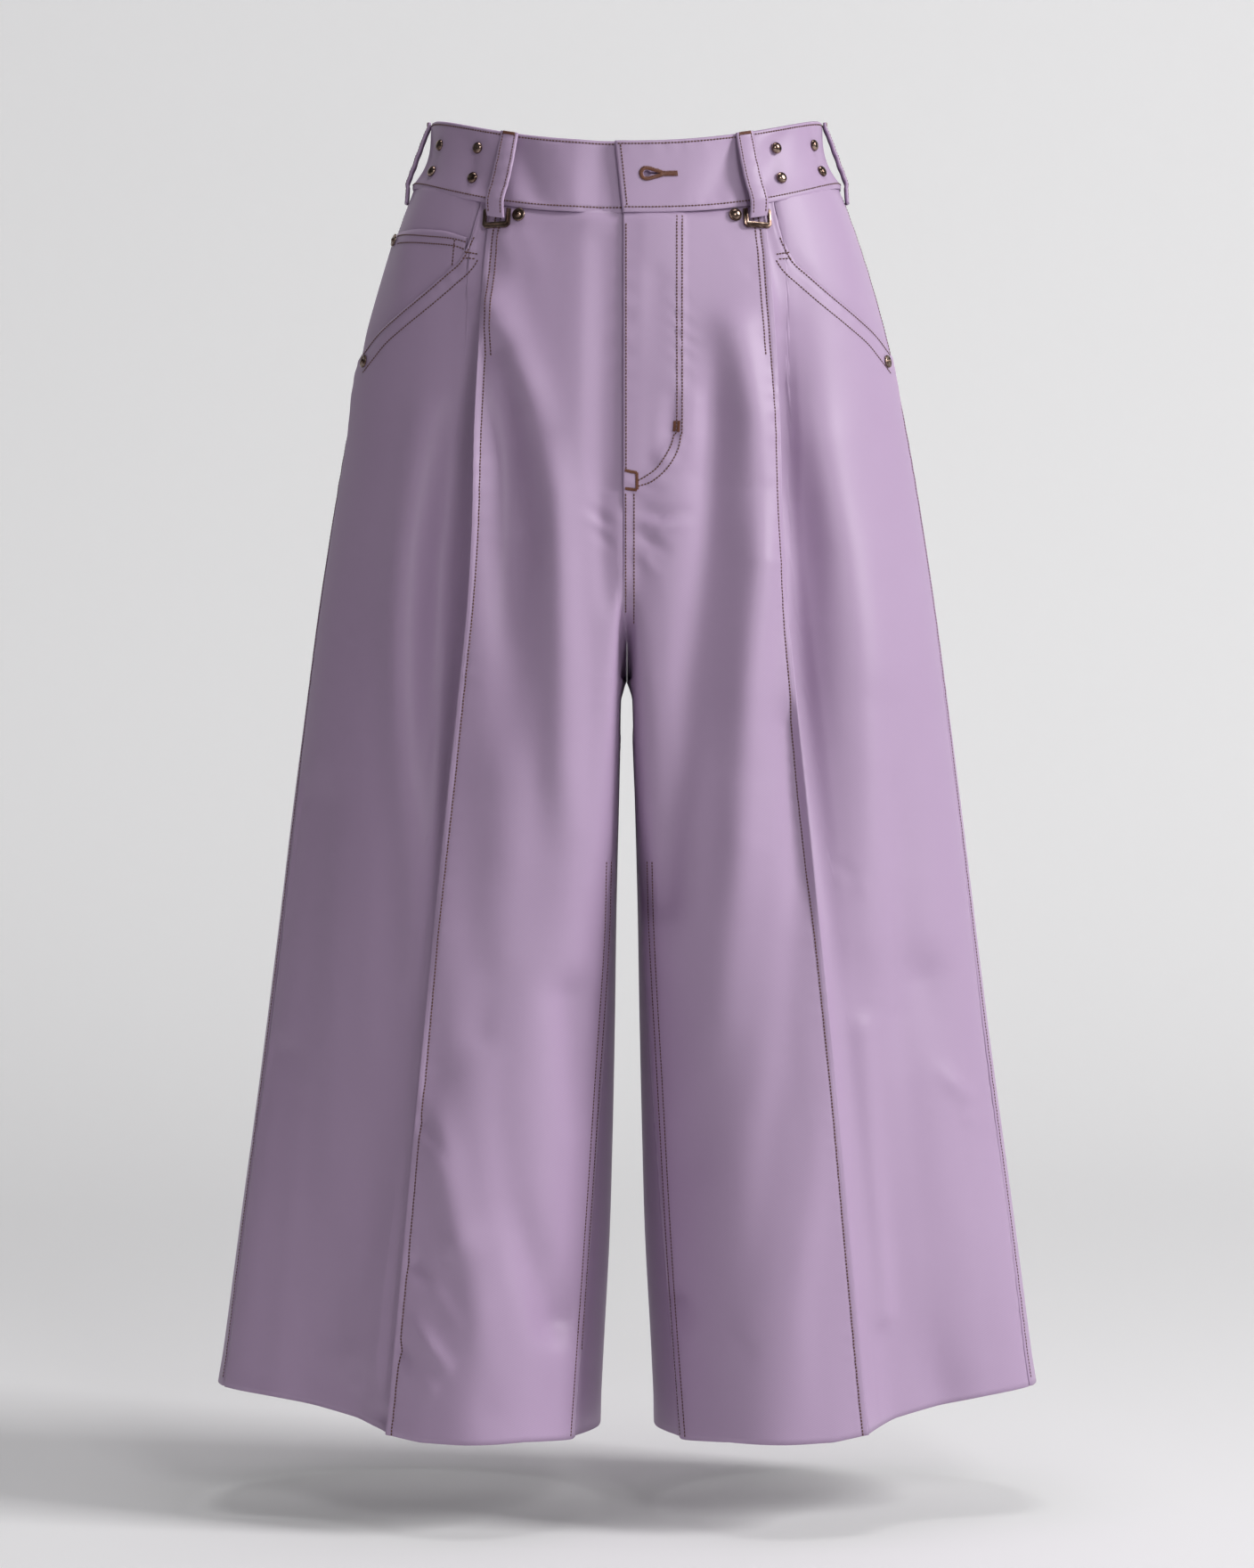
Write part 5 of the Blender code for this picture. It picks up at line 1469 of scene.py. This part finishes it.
# %% Floor that sweeps up behind
FLOOR = -0.876
SWEEP_DEEP, SWEEP_WIDE = 16, 18
SWEEP_FRONT = 6           # it starts this far in front of the garment, behind the camera
backdrop, backdrop_shader = new_material("pale_studio_sweep", "#E6E5E6", 0.9)
backdrop_shader.inputs["Specular IOR Level"].default_value = 0.1
place = add_node(backdrop, "ShaderNodeTexCoord")
split = add_node(backdrop, "ShaderNodeSeparateXYZ", [("Vector", place, "Object")])
far = add_node(backdrop, "ShaderNodeMapRange", [("Value", split, "Y")])
far.interpolation_type = "SMOOTHERSTEP"
for socket, value in (("From Min", 0.3), ("From Max", 4.6), ("To Min", 0.09), ("To Max", 0.30)):
    far.inputs[socket].default_value = value
backdrop.node_tree.links.new(far.outputs["Result"], backdrop_shader.inputs["Emission Strength"])
backdrop_shader.inputs["Emission Color"].default_value = (1, 1, 1, 1)
bpy.ops.mesh.primitive_grid_add(x_subdivisions=2, y_subdivisions=120, size=1)
sweep = bpy.context.object
sweep.name = "studio_sweep"
LEVEL_TO = 2.0            # the floor is level to here, then bends up with this radius
BEND = 3.0
for vert in sweep.data.vertices:
    run = (vert.co.y + 0.5) * SWEEP_DEEP - SWEEP_FRONT
    bend = min(max((run - LEVEL_TO) / BEND, 0), math.pi / 2)
    rise = max(run - LEVEL_TO - BEND * math.pi / 2, 0)
    vert.co = (vert.co.x * SWEEP_WIDE, min(run, LEVEL_TO) + BEND * math.sin(bend),
               FLOOR + BEND * (1 - math.cos(bend)) + rise)
sweep.data.polygons.foreach_set("use_smooth", [True] * len(sweep.data.polygons))
sweep.data.materials.append(backdrop)


# %% Lights and surround
def soft_light(name, place, aim, power, wide, tall):
    light = bpy.data.lights.new(name, "AREA")
    light.shape = "RECTANGLE"
    light.size = wide
    light.size_y = tall
    light.energy = power
    obj = linked(name, light)
    obj.location = place
    obj.rotation_euler = (Vector(aim) - Vector(place)).to_track_quat("-Z", "Y").to_euler()


soft_light("key_from_the_right", (5.15, -2.0, 2.60), (0.05, 0, -0.30), 325, 1.8, 2.4)
soft_light("fill_beside_the_camera", (0.8, -2.5, 0.65), (0, 0, -0.45), 15, 0.6, 0.6)
soft_light("soft_from_above", (0.1, -0.3, 1.9), (0.05, 0.05, -0.6), 14, 1.0, 0.8)
surround = bpy.data.worlds.new("pale_surround")
bpy.context.scene.world = surround
surround.use_nodes = True
surround.node_tree.nodes["Background"].inputs["Color"].default_value = (0.92, 0.92, 0.95, 1)
surround.node_tree.nodes["Background"].inputs["Strength"].default_value = 0.10

# %% Camera where the photograph's stood
CAMERA_DISTANCE = 2.5
PICTURE_HEIGHT = 1.01728  # metres of the garment's plane from the photograph's top to its foot
PICTURE_MIDDLE = -0.4065
lens = bpy.data.cameras.new("photo_camera")
lens.sensor_width = 36
lens.lens = 36 * CAMERA_DISTANCE / PICTURE_HEIGHT
camera = linked("photo_camera", lens)
camera.location = (0, -CAMERA_DISTANCE, PICTURE_MIDDLE)
camera.rotation_euler = (math.pi / 2, 0, 0)
bpy.context.scene.camera = camera
bpy.context.scene.view_settings.view_transform = "Standard"
